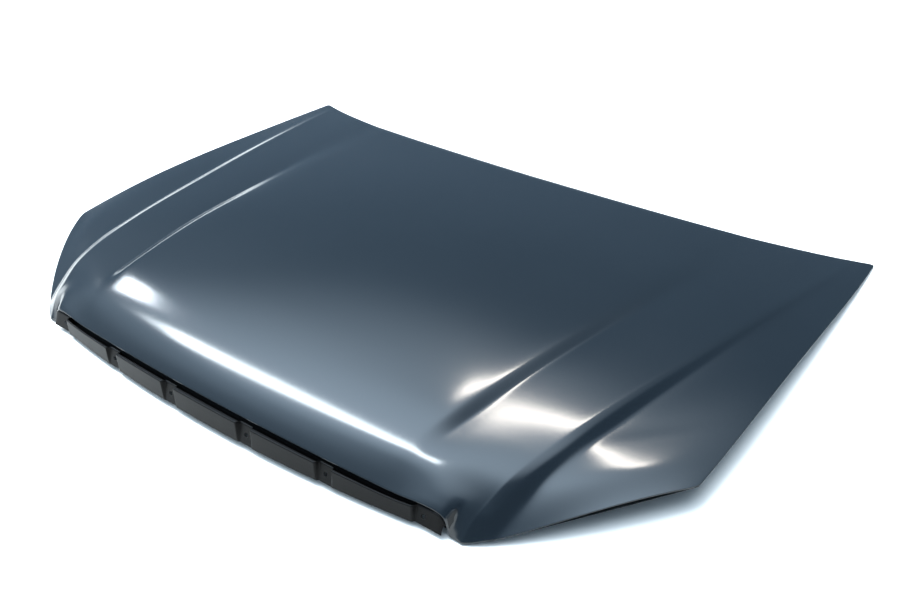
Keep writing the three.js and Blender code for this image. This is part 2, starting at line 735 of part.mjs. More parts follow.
// Seats for the hinge plates below the rear beam
const rowAt = (share) => rows.findIndex((row) => row.share === share);
const [firstHingeRow, lastHingeRow] = HINGE_ROW_SHARES.map(rowAt);
const hingeX = CREASE_REAR_X + CREASE_RIB_OUTER + RIB_WALL + HINGE_OFFSET;
const hingeOffsets = [-HINGE_BOLT_SPACING / 2, HINGE_BOLT_SPACING / 2];
const hingePlateSeats = [-1, 1].map((sign) => flatSeat(frameBottom, sign * hingeX, firstHingeRow,
  lastHingeRow, HINGE_PLATE_LENGTH / 2, -1));

// Seat for the latch plate below the front beam, behind the rail's seat
const firstBeamRow = rows.findIndex((row) => row.role === 'beam');
const lastBeamRow = rows.findLastIndex((row) => row.role === 'beam');
const latchSeat = flatSeat(frameBottom, 0, firstBeamRow + 1, lastBeamRow, LATCH_PLATE_WIDTH / 2, -1);
const strikerOffsets = [-STRIKER_BOLT_SPACING / 2, STRIKER_BOLT_SPACING / 2];

addPiece('outer_skin', makeSkin(), 'skin');

const frame = drilled(sheetGeometry(frameTop, frameBottom, latticeTriangles(true)), [
  ...hingePlateSeats.flatMap((seat) => boltHoles(seat, hingeOffsets)),
  ...boltHoles(latchSeat, strikerOffsets),
]);
addPiece('inner_frame', frame, 'inner');

['left', 'right'].forEach((hand, index) => {
  addPiece(`hinge_plate_${hand}`, seatedPlate(hingePlateSeats[index], 0, HINGE_PLATE_LENGTH,
    HINGE_PLATE_WIDTH, HINGE_PLATE_THICKNESS, hingeOffsets), 'inner');
  hingeOffsets.forEach((offset, bolt) => {
    const seat = nutSeat(hingePlateSeats[index], offset, solid(frame));
    addPiece(`hinge_nut_${hand}_${bolt + 1}`, weldNut(seat, offset), 'zinc');
  });
});

/** Stations of the grille rail across the car: the pads with their walls, and what lies between them. */
function railStations() {
  const half = PAD_WIDTH / 2;
  const right = [0];
  let last = half;
  for (const centre of PAD_CENTRES) {
    const start = centre - half - PAD_WALL;
    right.push(...RAIL_FREE_STATIONS.map((share) => lerp(last, start, share)), start, centre - half);
    last = Math.min(centre + half, RAIL_HALF_LENGTH - 2 * PAD_WALL);
    right.push(last);
    if (centre !== PAD_CENTRES.at(-1)) {
      last += PAD_WALL;
      right.push(last);
    }
  }
  right.push(RAIL_HALF_LENGTH - PAD_WALL, RAIL_HALF_LENGTH);
  right.push(planPoint(knot('crease'), rows[firstBeamRow].share).x);
  right.sort((a, b) => a - b);
  return [...right.slice(1).reverse().map((x) => -x), ...right];
}

/** Section of the grille rail at a distance from the centre: foot, face, step and seat below the beam. */
function railSection(x) {
  const distance = Math.abs(x);
  const half = PAD_WIDTH / 2;
  const slack = 0.01;
  const centre = PAD_CENTRES.find((place) => distance >= place - half - slack
    && (distance <= place + half + slack || place === PAD_CENTRES.at(-1)));
  const faceX = centre ?? distance;
  const along = faceX / RAIL_HALF_LENGTH;
  const lip = rowPoint(surface, 0, faceX);
  const faceY = lip.y - lerp(RAIL_STANDOFF, RAIL_END_STANDOFF, along ** 2);
  const footY = faceY + (centre === undefined ? 0 : PAD_FOOT_RECESS);
  const topY = faceY + (centre === undefined ? 0 : PAD_TOP_RECESS);
  const grooveY = Math.max(lip.y - RAIL_GROOVE_AHEAD, topY + PAD_WALL);
  const foot = lerp(RAIL_FOOT_CENTRE, RAIL_FOOT_END, along ** 2);
  const endDrop = distance > RAIL_HALF_LENGTH - slack ? RAIL_END_ROUNDING : 0;
  const top = lip.z - RAIL_BELOW_LIP - endDrop - (centre === undefined ? 0 : PAD_TOP_DROP);
  const seatFront = rowPoint(frameBottom, firstBeamRow, x);
  const seatLevel = Math.min(seatFront.z, rowPoint(frameBottom, firstBeamRow + 1, x).z) - 2 * SEAM;
  const seatY = seatFront.y + RAIL_SEAT_BEHIND_BEAM;
  return [
    new THREE.Vector3(x, footY, foot),
    new THREE.Vector3(x, topY, top),
    new THREE.Vector3(x, grooveY, lip.z - RAIL_GROOVE_DEPTH - endDrop / 2),
    new THREE.Vector3(x, seatY - RAIL_STEP_LENGTH, seatLevel - RAIL_STEP_DROP),
    new THREE.Vector3(x, seatY, seatLevel),
    new THREE.Vector3(x, seatY + RAIL_SEAT_DEPTH, seatLevel),
  ];
}

const stations = railStations();
const sections = stations.map(railSection);
const railTop = sections[0].map((_, j) => sections.map((section) => section[j]));
const railBottom = offsetLattice(railTop, latticeNormals(railTop), RAIL_SHEET);
const railTriangles = [];
for (let j = 0; j < railTop.length - 1; j += 1) {
  for (let i = 0; i < stations.length - 1; i += 1) {
    railTriangles.push([[i, j], [i + 1, j], [i + 1, j + 1]], [[i, j], [i + 1, j + 1], [i, j + 1]]);
  }
}
const railHoles = PAD_CENTRES.flatMap((centre) => [-centre, centre]).map((x) => {
  const [foot, top] = railSection(x);
  return {
    centre: foot.clone().lerp(top, PAD_HOLE_HEIGHT_SHARE),
    direction: new THREE.Vector3(0, 1, 0),
    diameter: PAD_HOLE_DIAMETER,
    length: 2 * PAD_WALL,
  };
});
addPiece('grille_rail', drilled(sheetGeometry(railTop, railBottom, railTriangles), railHoles), 'inner');

addPiece('latch_plate', seatedPlate(latchSeat, 0, LATCH_PLATE_WIDTH, LATCH_PLATE_DEPTH,
  LATCH_PLATE_THICKNESS, strikerOffsets), 'inner');
const strikerLift = LATCH_PLATE_THICKNESS + SEAM;
addPiece('striker_plate', seatedPlate(latchSeat, strikerLift, STRIKER_PLATE_WIDTH, STRIKER_PLATE_DEPTH,
  STRIKER_PLATE_THICKNESS, strikerOffsets), 'zinc');

/** Striker loop: a round rod bent to a U, hanging from its plate. */
function strikerLoop() {
  const half = STRIKER_LOOP_WIDTH / 2;
  const bend = STRIKER_BEND_RADIUS;
  const path = new THREE.CurvePath();
  const corner = (x, z) => new THREE.Vector3(x, 0, z);
  const low = -STRIKER_LOOP_DROP;
  path.add(new THREE.LineCurve3(corner(-half, 0), corner(-half, low + bend)));
  path.add(new THREE.QuadraticBezierCurve3(corner(-half, low + bend), corner(-half, low),
    corner(-half + bend, low)));
  path.add(new THREE.LineCurve3(corner(-half + bend, low), corner(half - bend, low)));
  path.add(new THREE.QuadraticBezierCurve3(corner(half - bend, low), corner(half, low),
    corner(half, low + bend)));
  path.add(new THREE.LineCurve3(corner(half, low + bend), corner(half, 0)));
  const section = new THREE.Shape();
  const sides = 10;
  for (let side = 0; side < sides; side += 1) {
    const angle = 2 * Math.PI * side / sides;
    const point = [STRIKER_ROD_DIAMETER / 2 * Math.cos(angle), STRIKER_ROD_DIAMETER / 2 * Math.sin(angle)];
    if (side === 0) {
      section.moveTo(...point);
    } else {
      section.lineTo(...point);
    }
  }
  section.closePath();
  const loop = new THREE.ExtrudeGeometry(section, { steps: 32, extrudePath: path, bevelEnabled: false });
  loop.applyMatrix4(seatMatrix(latchSeat, strikerLift + STRIKER_PLATE_THICKNESS + SEAM));
  return loop;
}
addPiece('striker_loop', strikerLoop(), 'zinc');

/** Hexagon bolt whose head bears on the striker plate and whose shank passes up into the beam. */
function strikerBolt(offset) {
  const headLift = strikerLift + STRIKER_PLATE_THICKNESS + SEAM;
  const shankLength = headLift + FRAME_SHEET + BOLT_STICK_OUT;
  const headRadius = NUT_ACROSS_CORNERS / 2;
  const head = new THREE.CylinderGeometry(headRadius, headRadius, BOLT_HEAD_HEIGHT, 6);
  head.rotateX(Math.PI / 2);
  head.translate(offset, 0, -headLift - BOLT_HEAD_HEIGHT / 2);
  const shank = new THREE.CylinderGeometry(THREAD_DIAMETER / 2, THREAD_DIAMETER / 2, shankLength, 10);
  shank.rotateX(Math.PI / 2);
  shank.translate(offset, 0, shankLength / 2 - headLift - BOLT_HEAD_OVERLAP);
  const bolt = fromSolid(solid(head).add(solid(shank)));
  bolt.applyMatrix4(seatMatrix(latchSeat));
  return bolt;
}
['left', 'right'].forEach((hand, index) => {
  addPiece(`striker_bolt_${hand}`, strikerBolt(strikerOffsets[index]), 'zinc');
});

/** Mastic pad in a cell of the flange beside a window, filling the gap between the frame and the skin. */
function masticPad(i, j) {
  const flatShare = MASTIC_WIDTH / MASTIC_FLANGE;
  const shares = [[1 - flatShare, 1 + flatShare].map((sum) => sum / 2),
    [1 - MASTIC_LENGTH_SHARE, 1 + MASTIC_LENGTH_SHARE].map((sum) => sum / 2)];
  const cornerAt = (layer, u, v) => {
    const front = layer[j][i].clone().lerp(layer[j][i + 1], u);
    const rear = layer[j + 1][i].clone().lerp(layer[j + 1][i + 1], u);
    return front.lerp(rear, v);
  };
  const level = (layer, rise) => shares[1].map((v) => shares[0].map((u) => {
    const point = cornerAt(layer, u, v);
    return point.setZ(point.z + rise);
  }));
  const underside = offsetLattice(surface, surfaceNormals, SKIN_SHEET);
  const upper = level(underside, -MASTIC_GAP);
  const lower = level(frameTop, MASTIC_GAP);
  return sheetGeometry(upper, lower, [[[0, 0], [1, 0], [1, 1]], [[0, 0], [1, 1], [0, 1]]]);
}
const masticRows = rows.map((row, j) => j)
  .filter((j) => rows[j].role === 'window' && rows[j + 1].role === 'window');
const masticColumn = columns.indexOf(domeEdge);
[-1, 1].forEach((sign) => {
  const hand = sign < 0 ? 'left' : 'right';
  const cell = sign < 0 ? LAST_COLUMN - masticColumn - 1 : LAST_COLUMN + masticColumn;
  masticRows.forEach((j, index) => {
    addPiece(`mastic_${hand}_${index + 1}`, masticPad(cell, j), 'mastic');
  });
});

// The origin is the bottom centre of the whole
const box = new THREE.Box3().setFromObject(bonnet);
const centre = box.getCenter(new THREE.Vector3());
bonnet.position.set(-centre.x, -centre.y, -box.min.z);

export default bonnet;
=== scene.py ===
"""Car bonnet in bare dark primer, lying skin side up on a pale studio floor.

The outer skin and the grille rail are fine surfaces worked out from the same long pressed lines as the
solids. The inner frame, plates, nuts, bolts, striker and mastic pads keep their solids and get their
finishes here.
"""
import logging
import math
from dataclasses import dataclass
from enum import Enum

import bpy
import numpy as np
from mathutils import Matrix, Vector


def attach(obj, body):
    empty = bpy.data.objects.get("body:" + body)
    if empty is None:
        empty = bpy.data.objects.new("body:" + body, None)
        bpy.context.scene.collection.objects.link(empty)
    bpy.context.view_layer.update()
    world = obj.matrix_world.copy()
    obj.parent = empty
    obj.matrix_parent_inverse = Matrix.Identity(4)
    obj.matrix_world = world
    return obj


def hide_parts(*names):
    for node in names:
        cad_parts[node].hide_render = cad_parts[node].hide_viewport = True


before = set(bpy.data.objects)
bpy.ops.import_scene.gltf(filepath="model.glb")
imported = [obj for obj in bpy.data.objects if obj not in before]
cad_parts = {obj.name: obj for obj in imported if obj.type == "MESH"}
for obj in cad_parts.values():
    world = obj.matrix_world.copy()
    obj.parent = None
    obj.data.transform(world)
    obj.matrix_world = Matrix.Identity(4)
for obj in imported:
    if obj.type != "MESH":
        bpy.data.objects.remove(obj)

LOG = logging.getLogger("bonnet")
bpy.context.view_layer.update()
MM = 0.001


class Slot(Enum):
    """Names of the material slots."""

    SKIN = "skin"
    INNER = "inner"


def smooth_step(low: np.ndarray | float, high: np.ndarray | float, value: np.ndarray) -> np.ndarray:
    """Rises from 0 at low to 1 at high along 3q² − 2q³.

    Args:
        low: Value where the rise starts.
        high: Value where it ends.
        value: Values to look up.

    Returns:
        Share between 0 and 1 for each value.
    """
    share = np.clip((value - low) / (high - low), 0.0, 1.0)
    return share * share * (3.0 - 2.0 * share)


def blend(first: np.ndarray | float, second: np.ndarray | float, share: np.ndarray | float) -> np.ndarray:
    """Value on the straight line from first to second at a share of it."""
    return first + (second - first) * share


def kink_rounding(away: np.ndarray, width: np.ndarray | float, reach: float) -> np.ndarray:
    """Height that a kink of slope change 1 gains at a distance d from it, rounded to a hyperbola.

    It is ½(d + √(d² + w²)) − max(0, d), fading out as exp(−(d / rw)²).

    Args:
        away: Distances from the kink.
        width: Half width w of the rounding.
        reach: Number r of half widths over which it fades.

    Returns:
        Heights to be multiplied by the slope change.
    """
    rounded = (away + np.sqrt(away ** 2 + width ** 2)) / 2 - np.maximum(away, 0.0)
    return rounded * np.exp(-(away / (reach * width)) ** 2)


def cubic_piece(start: np.ndarray, start_slope: np.ndarray, end: np.ndarray, end_slope: np.ndarray,
                length: np.ndarray, share: np.ndarray) -> np.ndarray:
    """Cubic with given ends and slopes: (2q³−3q²+1)a + (q³−2q²+q)L·m + (3q²−2q³)b + (q³−q²)L·n.

    Args:
        start: Height at share 0.
        start_slope: Slope there.
        end: Height at share 1.
        end_slope: Slope there.
        length: Distance from start to end.
        share: Where to read the cubic.

    Returns:
        Heights at the shares.
    """
    square = share * share
    cube = square * share
    return ((2 * cube - 3 * square + 1) * start + (cube - 2 * square + share) * length * start_slope
            + (3 * square - 2 * cube) * end + (cube - square) * length * end_slope)


def graded_places(length: float, features: tuple[float, ...], fine: float, growth: float,
                  coarse: float, samples: int = 4000) -> np.ndarray:
    """Places along a length that crowd near its features.

    The spacing at a place is fine + growth × distance to the nearest feature, at most coarse; the places
    cut the integral of 1 / spacing into equal steps.

    Args:
        length: Distance to cover, from 0.
        features: Places where the grid is finest.
        fine: Spacing at a feature.
        growth: How fast the spacing grows away from it.
        coarse: Largest spacing.
        samples: Number of points at which the spacing is summed up.

    Returns:
        Rising places from 0 to length.
    """
    dense = np.linspace(0.0, length, samples)
    away = np.min(np.abs(dense[:, None] - np.asarray(features)[None, :]), axis=1)
    density = 1.0 / np.minimum(fine + growth * away, coarse)
    steps = np.concatenate([[0.0], np.cumsum((density[1:] + density[:-1]) / 2 * np.diff(dense))])
    count = max(int(round(steps[-1])), 2)
    return np.interp(np.linspace(0.0, steps[-1], count + 1), steps, dense)


@dataclass(frozen=True)
class PressedLine:
    """Height of one long pressed line as a smooth curve through stations [place along Y, height], mm."""

    stations: tuple[tuple[float, float], ...]

    def heights(self, places: np.ndarray) -> np.ndarray:
        """Natural cubic spline through the stations, straight past both ends.

        The second derivatives M solve h₀M₀ + 2(h₀+h₁)M₁ + h₁M₂ = 6(slope₁ − slope₀) at inner stations.

        Args:
            places: Places along Y.

        Returns:
            Heights there.
        """
        knots = np.array([station[0] for station in self.stations])
        values = np.array([station[1] for station in self.stations])
        gaps = np.diff(knots)
        slopes = np.diff(values) / gaps
        count = len(knots)
        matrix = np.eye(count)
        right = np.zeros(count)
        inner = np.arange(1, count - 1)
        matrix[inner, inner - 1] = gaps[:-1]
        matrix[inner, inner] = 2 * (gaps[:-1] + gaps[1:])
        matrix[inner, inner + 1] = gaps[1:]
        right[inner] = 6 * np.diff(slopes)
        bend = np.linalg.solve(matrix, right)
        index = np.clip(np.searchsorted(knots, places) - 1, 0, count - 2)
        held = np.clip(places, knots[0], knots[-1])
        after = (held - knots[index]) / gaps[index]
        before = 1 - after
        curve = (before * values[index] + after * values[index + 1]
                 + gaps[index] ** 2 / 6 * ((before ** 3 - before) * bend[index]
                                           + (after ** 3 - after) * bend[index + 1]))
        first_slope = slopes[0] - gaps[0] * bend[1] / 6
        last_slope = slopes[-1] + gaps[-1] * bend[-2] / 6
        curve += np.minimum(places - knots[0], 0) * first_slope
        return curve + np.maximum(places - knots[-1], 0) * last_slope


@dataclass(frozen=True)
class Rounding:
    """Half width of the rounding along a pressed line, with what it gains at the nose and at the rear, mm."""

    base: float
    nose: float = 0.0
    rear: float = 0.0
    power: float = 1.0

    def widths(self, at_nose: np.ndarray, at_rear: np.ndarray) -> np.ndarray:
        """base + nose · n + rear · r^power, n being 1 at the nose and r being 1 at the rear."""
        return self.base + self.nose * at_nose + self.rear * at_rear ** self.power


@dataclass(frozen=True)
class OuterSurface:
    """Outer surface of the bonnet over a place across the front edge and a share of the way back.

    Sizes are in millimetres from the mirror plane and from the front corners; origin_y and origin_z move
    the result to the bottom centre of the whole part.
    """

    # Edges and long lines in plan
    rear_half_width: float = 750.0
    rear_centre_y: float = 965.0
    rear_sweep: float = 108.0
    rear_horn: float = 27.0
    lip_centre_y: float = -32.0
    lip_sweep: float = 28.0
    corner_x: float = 470.0
    corner_y: float = -6.0
    notch_width: float = 30.0
    lip_end_inset: float = 24.0
    lip_round: float = 15.0
    ear_width: float = 19.0
    lamp_x: float = 709.0
    lamp_y: float = 252.0
    lamp_power: float = 1.25
    side_bow: float = 6.0
    crease_front: float = 361.0
    crease_rear: float = 520.0
    dome_shoulder: float = 40.0
    ridge_inset: float = 44.0
    swage_width: float = 36.0
    swage_rear: float = 5.5
    foot_rear: float = 11.0

    # Section between the long lines
    bend_share: float = 0.45
    bend_fall: float = 1.6
    band_start_slope: float = -0.05
    band_end_slope: float = -0.12
    band_nose_reach: float = 45.0
    swage_drop: float = 0.3
    flank_front: tuple[float, float] = (0.353, -0.211)
    flank_rear: tuple[float, float] = (-0.09, -0.194)
    flank_change: float = 0.184

    # Turned-down front corners, rolled rear edge and rounded corners in plan
    corner_height: float = 3.0
    corner_reach: float = 0.028
    corner_power: float = 1.4
    ear_radius: float = 14.0
    ear_round: float = 0.55
    rear_roll_share: float = 0.02
    edge_roll: float = 2.5
    tip_radius: float = 11.0
    lamp_radius: float = 8.8

    # Roundings of the kinks, and the shares of the way back over which they change
    shoulder_round: Rounding = Rounding(25.0)
    bend_round: Rounding = Rounding(6.0, 8.0, 20.0)
    crease_round: Rounding = Rounding(2.0, 14.0, 40.0, 2.0)
    ridge_round: Rounding = Rounding(2.5, 0.0, 5.0)
    swage_round: Rounding = Rounding(4.0, 0.0, 2.0)
    foot_round: Rounding = Rounding(8.0, 0.0, 10.0)
    nose_shares: tuple[float, float] = (0.03, 0.12)
    rear_shares: tuple[float, float] = (0.35, 1.0)
    kink_reach: float = 4.0
    lip_reach: float = 2.0

    # Place of the whole part
    origin_y: float = -527.0
    origin_z: float = 0.084

    # Heights of the long lines as stations (place along Y, height)
    centre: PressedLine = PressedLine((
        (-32, 54), (-20, 69), (-6, 81), (15, 92), (45, 102.5), (100, 113), (200, 119), (330, 117), (650, 88),
        (965, 50)))
    shoulder: PressedLine = PressedLine((
        (-16, 46), (-2, 62), (19, 80), (40, 89.5), (67, 97), (110, 104.2), (150, 106.3), (200, 106.8),
        (330, 103), (500, 87), (700, 65.5), (850, 47.5), (1010, 29.5)))
    crease: PressedLine = PressedLine((
        (-13, 43), (5, 61), (25, 76.5), (50, 86), (80, 89.2), (105, 90), (150, 91.2), (200, 92.2), (308, 91),
        (462, 80), (645, 64), (865, 41), (1030, 24)))
    ridge: PressedLine = PressedLine((
        (0, 20), (10, 30), (42, 50), (74, 67), (107, 76), (150, 79.8), (200, 82), (240, 82.6), (300, 81),
        (465, 69), (700, 48), (900, 27), (1060, 10)))
    foot: PressedLine = PressedLine((
        (18, 9), (60, 34), (100, 52.5), (142, 62.2), (200, 67.1), (250, 65.7), (304, 64.2), (460, 57),
        (700, 41), (900, 23), (1063, 8)))
    side: PressedLine = PressedLine((
        (252, 41.4), (422, 44.5), (580, 40), (775, 27), (1024, 8), (1097, 3)))

    @property
    def knots(self) -> dict[str, tuple[float, float]]:
        """Places of the long lines across the front edge and across the rear edge."""
        ridge_rear = self.rear_half_width - self.ridge_inset
        return {
            "centre": (0.0, 0.0),
            "shoulder": (self.crease_front - self.dome_shoulder, self.crease_rear - self.dome_shoulder),
            "crease": (self.crease_front, self.crease_rear),
            "ridge": (self.corner_x, ridge_rear),
            "swage": (self.corner_x + self.swage_width / 2, ridge_rear + self.swage_rear),
            "foot": (self.corner_x + self.swage_width, ridge_rear + self.foot_rear),
            "side": (self.lamp_x, self.rear_half_width),
        }

    def front_edge(self, place: np.ndarray) -> np.ndarray:
        """Y of the front edge: a lip swept back by the square of x, then the lamp edge by a power of x.

        The kink at the end of the lip is rounded like those of the sections.

        Args:
            place: Distances from the mirror plane.

        Returns:
            Y of the edge.
        """
        lip_end = self.corner_x - self.notch_width
        lip_share = np.minimum(place / lip_end, 1.0)
        lip = self.lip_centre_y + self.lip_sweep * lip_share ** 2
        corner = np.clip(1 - (self.corner_x - place) / self.notch_width, 0.0, 1.0)
        lamp_share = np.clip((place - self.corner_x) / (self.lamp_x - self.corner_x), 0.0, 1.0)
        lamp = blend(self.corner_y, self.lamp_y, lamp_share ** self.lamp_power)
        bend = (self.corner_y - self.lip_centre_y - self.lip_sweep) / self.notch_width
        bend -= 2 * self.lip_sweep / lip_end
        edge = np.where(place <= self.corner_x, blend(lip, self.corner_y, corner), lamp)
        return edge + bend * kink_rounding(place - lip_end, self.lip_round, self.lip_reach)

    def rear_edge(self, place: np.ndarray) -> np.ndarray:
        """Y of the rear edge: a sweep by the square of x and horns by its sixth power."""
        share = place / self.rear_half_width
        return self.rear_centre_y + self.rear_sweep * share ** 2 + self.rear_horn * share ** 6

    def rear_place(self, front_place: np.ndarray) -> np.ndarray:
        """Place across the rear edge that belongs to a place across the front edge, line by line."""
        fronts, rears = zip(*self.knots.values())
        return np.interp(front_place, fronts, rears)

    def plan(self, front_place: np.ndarray, share: np.ndarray) -> tuple[np.ndarray, np.ndarray]:
        """Place in plan: straight from the front edge to the rear edge, bowed outwards by a fourth power.

        Args:
            front_place: Distance from the mirror plane at the front edge.
            share: Share of the way back.

        Returns:
            X and Y.
        """
        rear = self.rear_place(front_place)
        bow = self.side_bow * np.minimum(1.0, front_place / self.crease_front) * (1 - (2 * share - 1) ** 4)
        return (blend(front_place, rear, share) + bow,
                blend(self.front_edge(front_place), self.rear_edge(rear), share))

    def line_places(self, name: str, share: np.ndarray) -> tuple[np.ndarray, np.ndarray]:
        """X and height of one long line at shares of the way back."""
        place = np.full_like(share, self.knots[name][0])
        x, y = self.plan(place, share)
        return x, getattr(self, name).heights(y)

    def fillets(self, share: np.ndarray) -> dict[str, np.ndarray]:
        """Half width of the rounding at each pressed line, which widens where the line fades."""
        at_rear = smooth_step(*self.rear_shares, share)
        at_nose = 1 - smooth_step(*self.nose_shares, share)
        roundings = {"shoulder": self.shoulder_round, "bend": self.bend_round, "crease": self.crease_round,
                     "ridge": self.ridge_round, "swage": self.swage_round, "foot": self.foot_round}
        return {name: rounding.widths(at_nose, at_rear) for name, rounding in roundings.items()}

    def section(self, x: np.ndarray, share: np.ndarray) -> np.ndarray:
        """Height of the section over x, with each of its kinks rounded.

        It is a parabola to the dome shoulder, two straight slopes to the bend and the crease, a cubic to
        the ridge, straight walls down to the swage and the foot, and a cubic to the side.

        Args:
            x: Distances from the mirror plane.
            share: Shares of the way back.

        Returns:
            Heights.
        """
        _, centre_z = self.line_places("centre", share)
        shoulder_x, shoulder_z = self.line_places("shoulder", share)
        crease_x, crease_z = self.line_places("crease", share)
        ridge_x, ridge_z = self.line_places("ridge", share)
        foot_x, foot_z = self.line_places("foot", share)
        side_x, side_z = self.line_places("side", share)
        swage_x, _ = self.plan(np.full_like(share, self.knots["swage"][0]), share)
        _, ridge_y = self.plan(np.full_like(share, self.knots["ridge"][0]), share)
        crown = 2 * (shoulder_z - centre_z) / shoulder_x
        bend_x = blend(shoulder_x, crease_x, self.bend_share)
        crest = self.bend_fall * crown
        bend_z = shoulder_z + crest * (bend_x - shoulder_x)
        steep = (crease_z - bend_z) / (crease_x - bend_x)
        fall = self.band_end_slope - np.exp(-np.maximum(ridge_y, 0) / self.band_nose_reach)
        swage_z = ridge_z + self.swage_drop * (foot_z - ridge_z)
        wall = (swage_z - ridge_z) / (swage_x - ridge_x)
        low_wall = (foot_z - swage_z) / (foot_x - swage_x)
        rear = smooth_step(0.0, self.flank_change, share)
        inner = blend(self.flank_front[0], self.flank_rear[0], rear)
        outer = blend(self.flank_front[1], self.flank_rear[1], rear)
        dome = centre_z + (shoulder_z - centre_z) * (x / shoulder_x) ** 2
        edge = shoulder_z + crest * (x - shoulder_x)
        slope = bend_z + steep * (x - bend_x)
        band = cubic_piece(crease_z, np.full_like(x, self.band_start_slope), ridge_z, fall,
                           ridge_x - crease_x, (x - crease_x) / (ridge_x - crease_x))
        upper_wall = ridge_z + wall * (x - ridge_x)
        lower_wall = swage_z + low_wall * (x - swage_x)
        flank = cubic_piece(foot_z, inner, side_z, outer, side_x - foot_x,
                            (x - foot_x) / (side_x - foot_x))
        ends = (shoulder_x, bend_x, crease_x, ridge_x, swage_x, foot_x)
        height = np.select([x <= end for end in ends], [dome, edge, slope, band, upper_wall, lower_wall],
                           flank)
        width = self.fillets(share)
        kinks = (
            ("shoulder", shoulder_x, crest - crown),
            ("bend", bend_x, steep - crest),
            ("crease", crease_x, self.band_start_slope - steep),
            ("ridge", ridge_x, wall - fall),
            ("swage", swage_x, low_wall - wall),
            ("foot", foot_x, inner - low_wall),
        )
        for name, place, change in kinks:
            height = height + change * kink_rounding(x - place, width[name], self.kink_reach)
        return height

    def rounded_corners(self, front_place: np.ndarray, share: np.ndarray) -> tuple[np.ndarray, np.ndarray]:
        """Rounds the rear tips and the lamp corners in plan.

        Inside a square block at a corner, (p, q) moves to (p√(1 − q²/2), q√(1 − p²/2)), which turns
        its outer edges into a quarter circle.

        Args:
            front_place: Distances from the mirror plane at the front edge.
            share: Shares of the way back.

        Returns:
            Moved distances and shares.
        """
        side_x, _ = self.plan(np.full_like(share, self.lamp_x), share)
        x, _ = self.plan(front_place, share)
        spread = self.lamp_x - self.knots["foot"][0]
        inward = np.maximum(side_x - x, 0.0)
        length = self.rear_edge(np.array(self.rear_half_width)) - self.lamp_y
        for reach, from_rear in ((self.tip_radius, True), (self.lamp_radius, False)):
            along = (1 - share if from_rear else share) * length
            p = np.clip(1 - inward / reach, 0.0, 1.0)
            q = np.clip(1 - along / reach, 0.0, 1.0)
            p_new = p * np.sqrt(1 - q * q / 2)
            q_new = q * np.sqrt(1 - p * p / 2)
            local = blend(spread, self.rear_half_width - self.knots["foot"][1], share) / spread
            front_place = front_place - (p - p_new) * reach / local
            change = (q - q_new) * reach / length
            share = share - change if from_rear else share + change
        return front_place, share

    def points(self, front_place: np.ndarray, share: np.ndarray) -> np.ndarray:
        """Points of the right half of the surface in metres.

        The front corner is turned down to the floor by a power of what is left of the turn, with a quarter
        circle and a smooth step beside the end of the lip. The rear edge is rolled by a square.

        Args:
            front_place: Distances from the mirror plane at the front edge.
            share: Shares of the way back.

        Returns:
            Array of points, with one axis more than the arguments.
        """
        front_place, share = self.rounded_corners(front_place, share)
        x, y = self.plan(front_place, share)
        height = self.section(x, share)
        turn = np.clip(1 - share / self.corner_reach, 0.0, 1.0) ** self.corner_power
        lip_end = self.corner_x - self.lip_end_inset
        arc = np.clip((front_place - lip_end) / self.ear_radius + 1, 0.0, 1.0)
        ear = blend(smooth_step(lip_end, self.corner_x - self.ear_width, front_place),
                    1 - np.sqrt(1 - arc ** 2), self.ear_round)
        ear = ear * (1 - smooth_step(self.corner_x, self.corner_x + self.swage_width, front_place))
        at_front = np.zeros_like(share)
        front_x, _ = self.plan(front_place, at_front)
        height = height - turn * ear * (self.section(front_x, at_front) - self.corner_height)
        roll = np.clip(1 - (1 - share) / self.rear_roll_share, 0.0, 1.0) ** 2
        height = height - self.edge_roll * roll * (1 - self.rear_place(front_place) / self.rear_half_width)
        return np.stack([x, y + self.origin_y, height + self.origin_z], axis=-1) * MM


def mirrored(points: np.ndarray) -> np.ndarray:
    """Both halves of a grid whose first column lies on the mirror plane, from left to right."""
    return np.concatenate([points[:, :0:-1] * np.array([-1.0, 1.0, 1.0]), points], axis=1)


def grid_normals(points: np.ndarray) -> np.ndarray:
    """Unit normals of a grid: the cross product of its differences along and across."""
    along = np.gradient(points, axis=1)
    back = np.gradient(points, axis=0)
    normal = np.cross(along, back)
    return normal / np.linalg.norm(normal, axis=-1, keepdims=True)


def unit(vectors: np.ndarray) -> np.ndarray:
    """Vectors scaled to length 1."""
    return vectors / np.maximum(np.linalg.norm(vectors, axis=-1, keepdims=True), 1e-12)


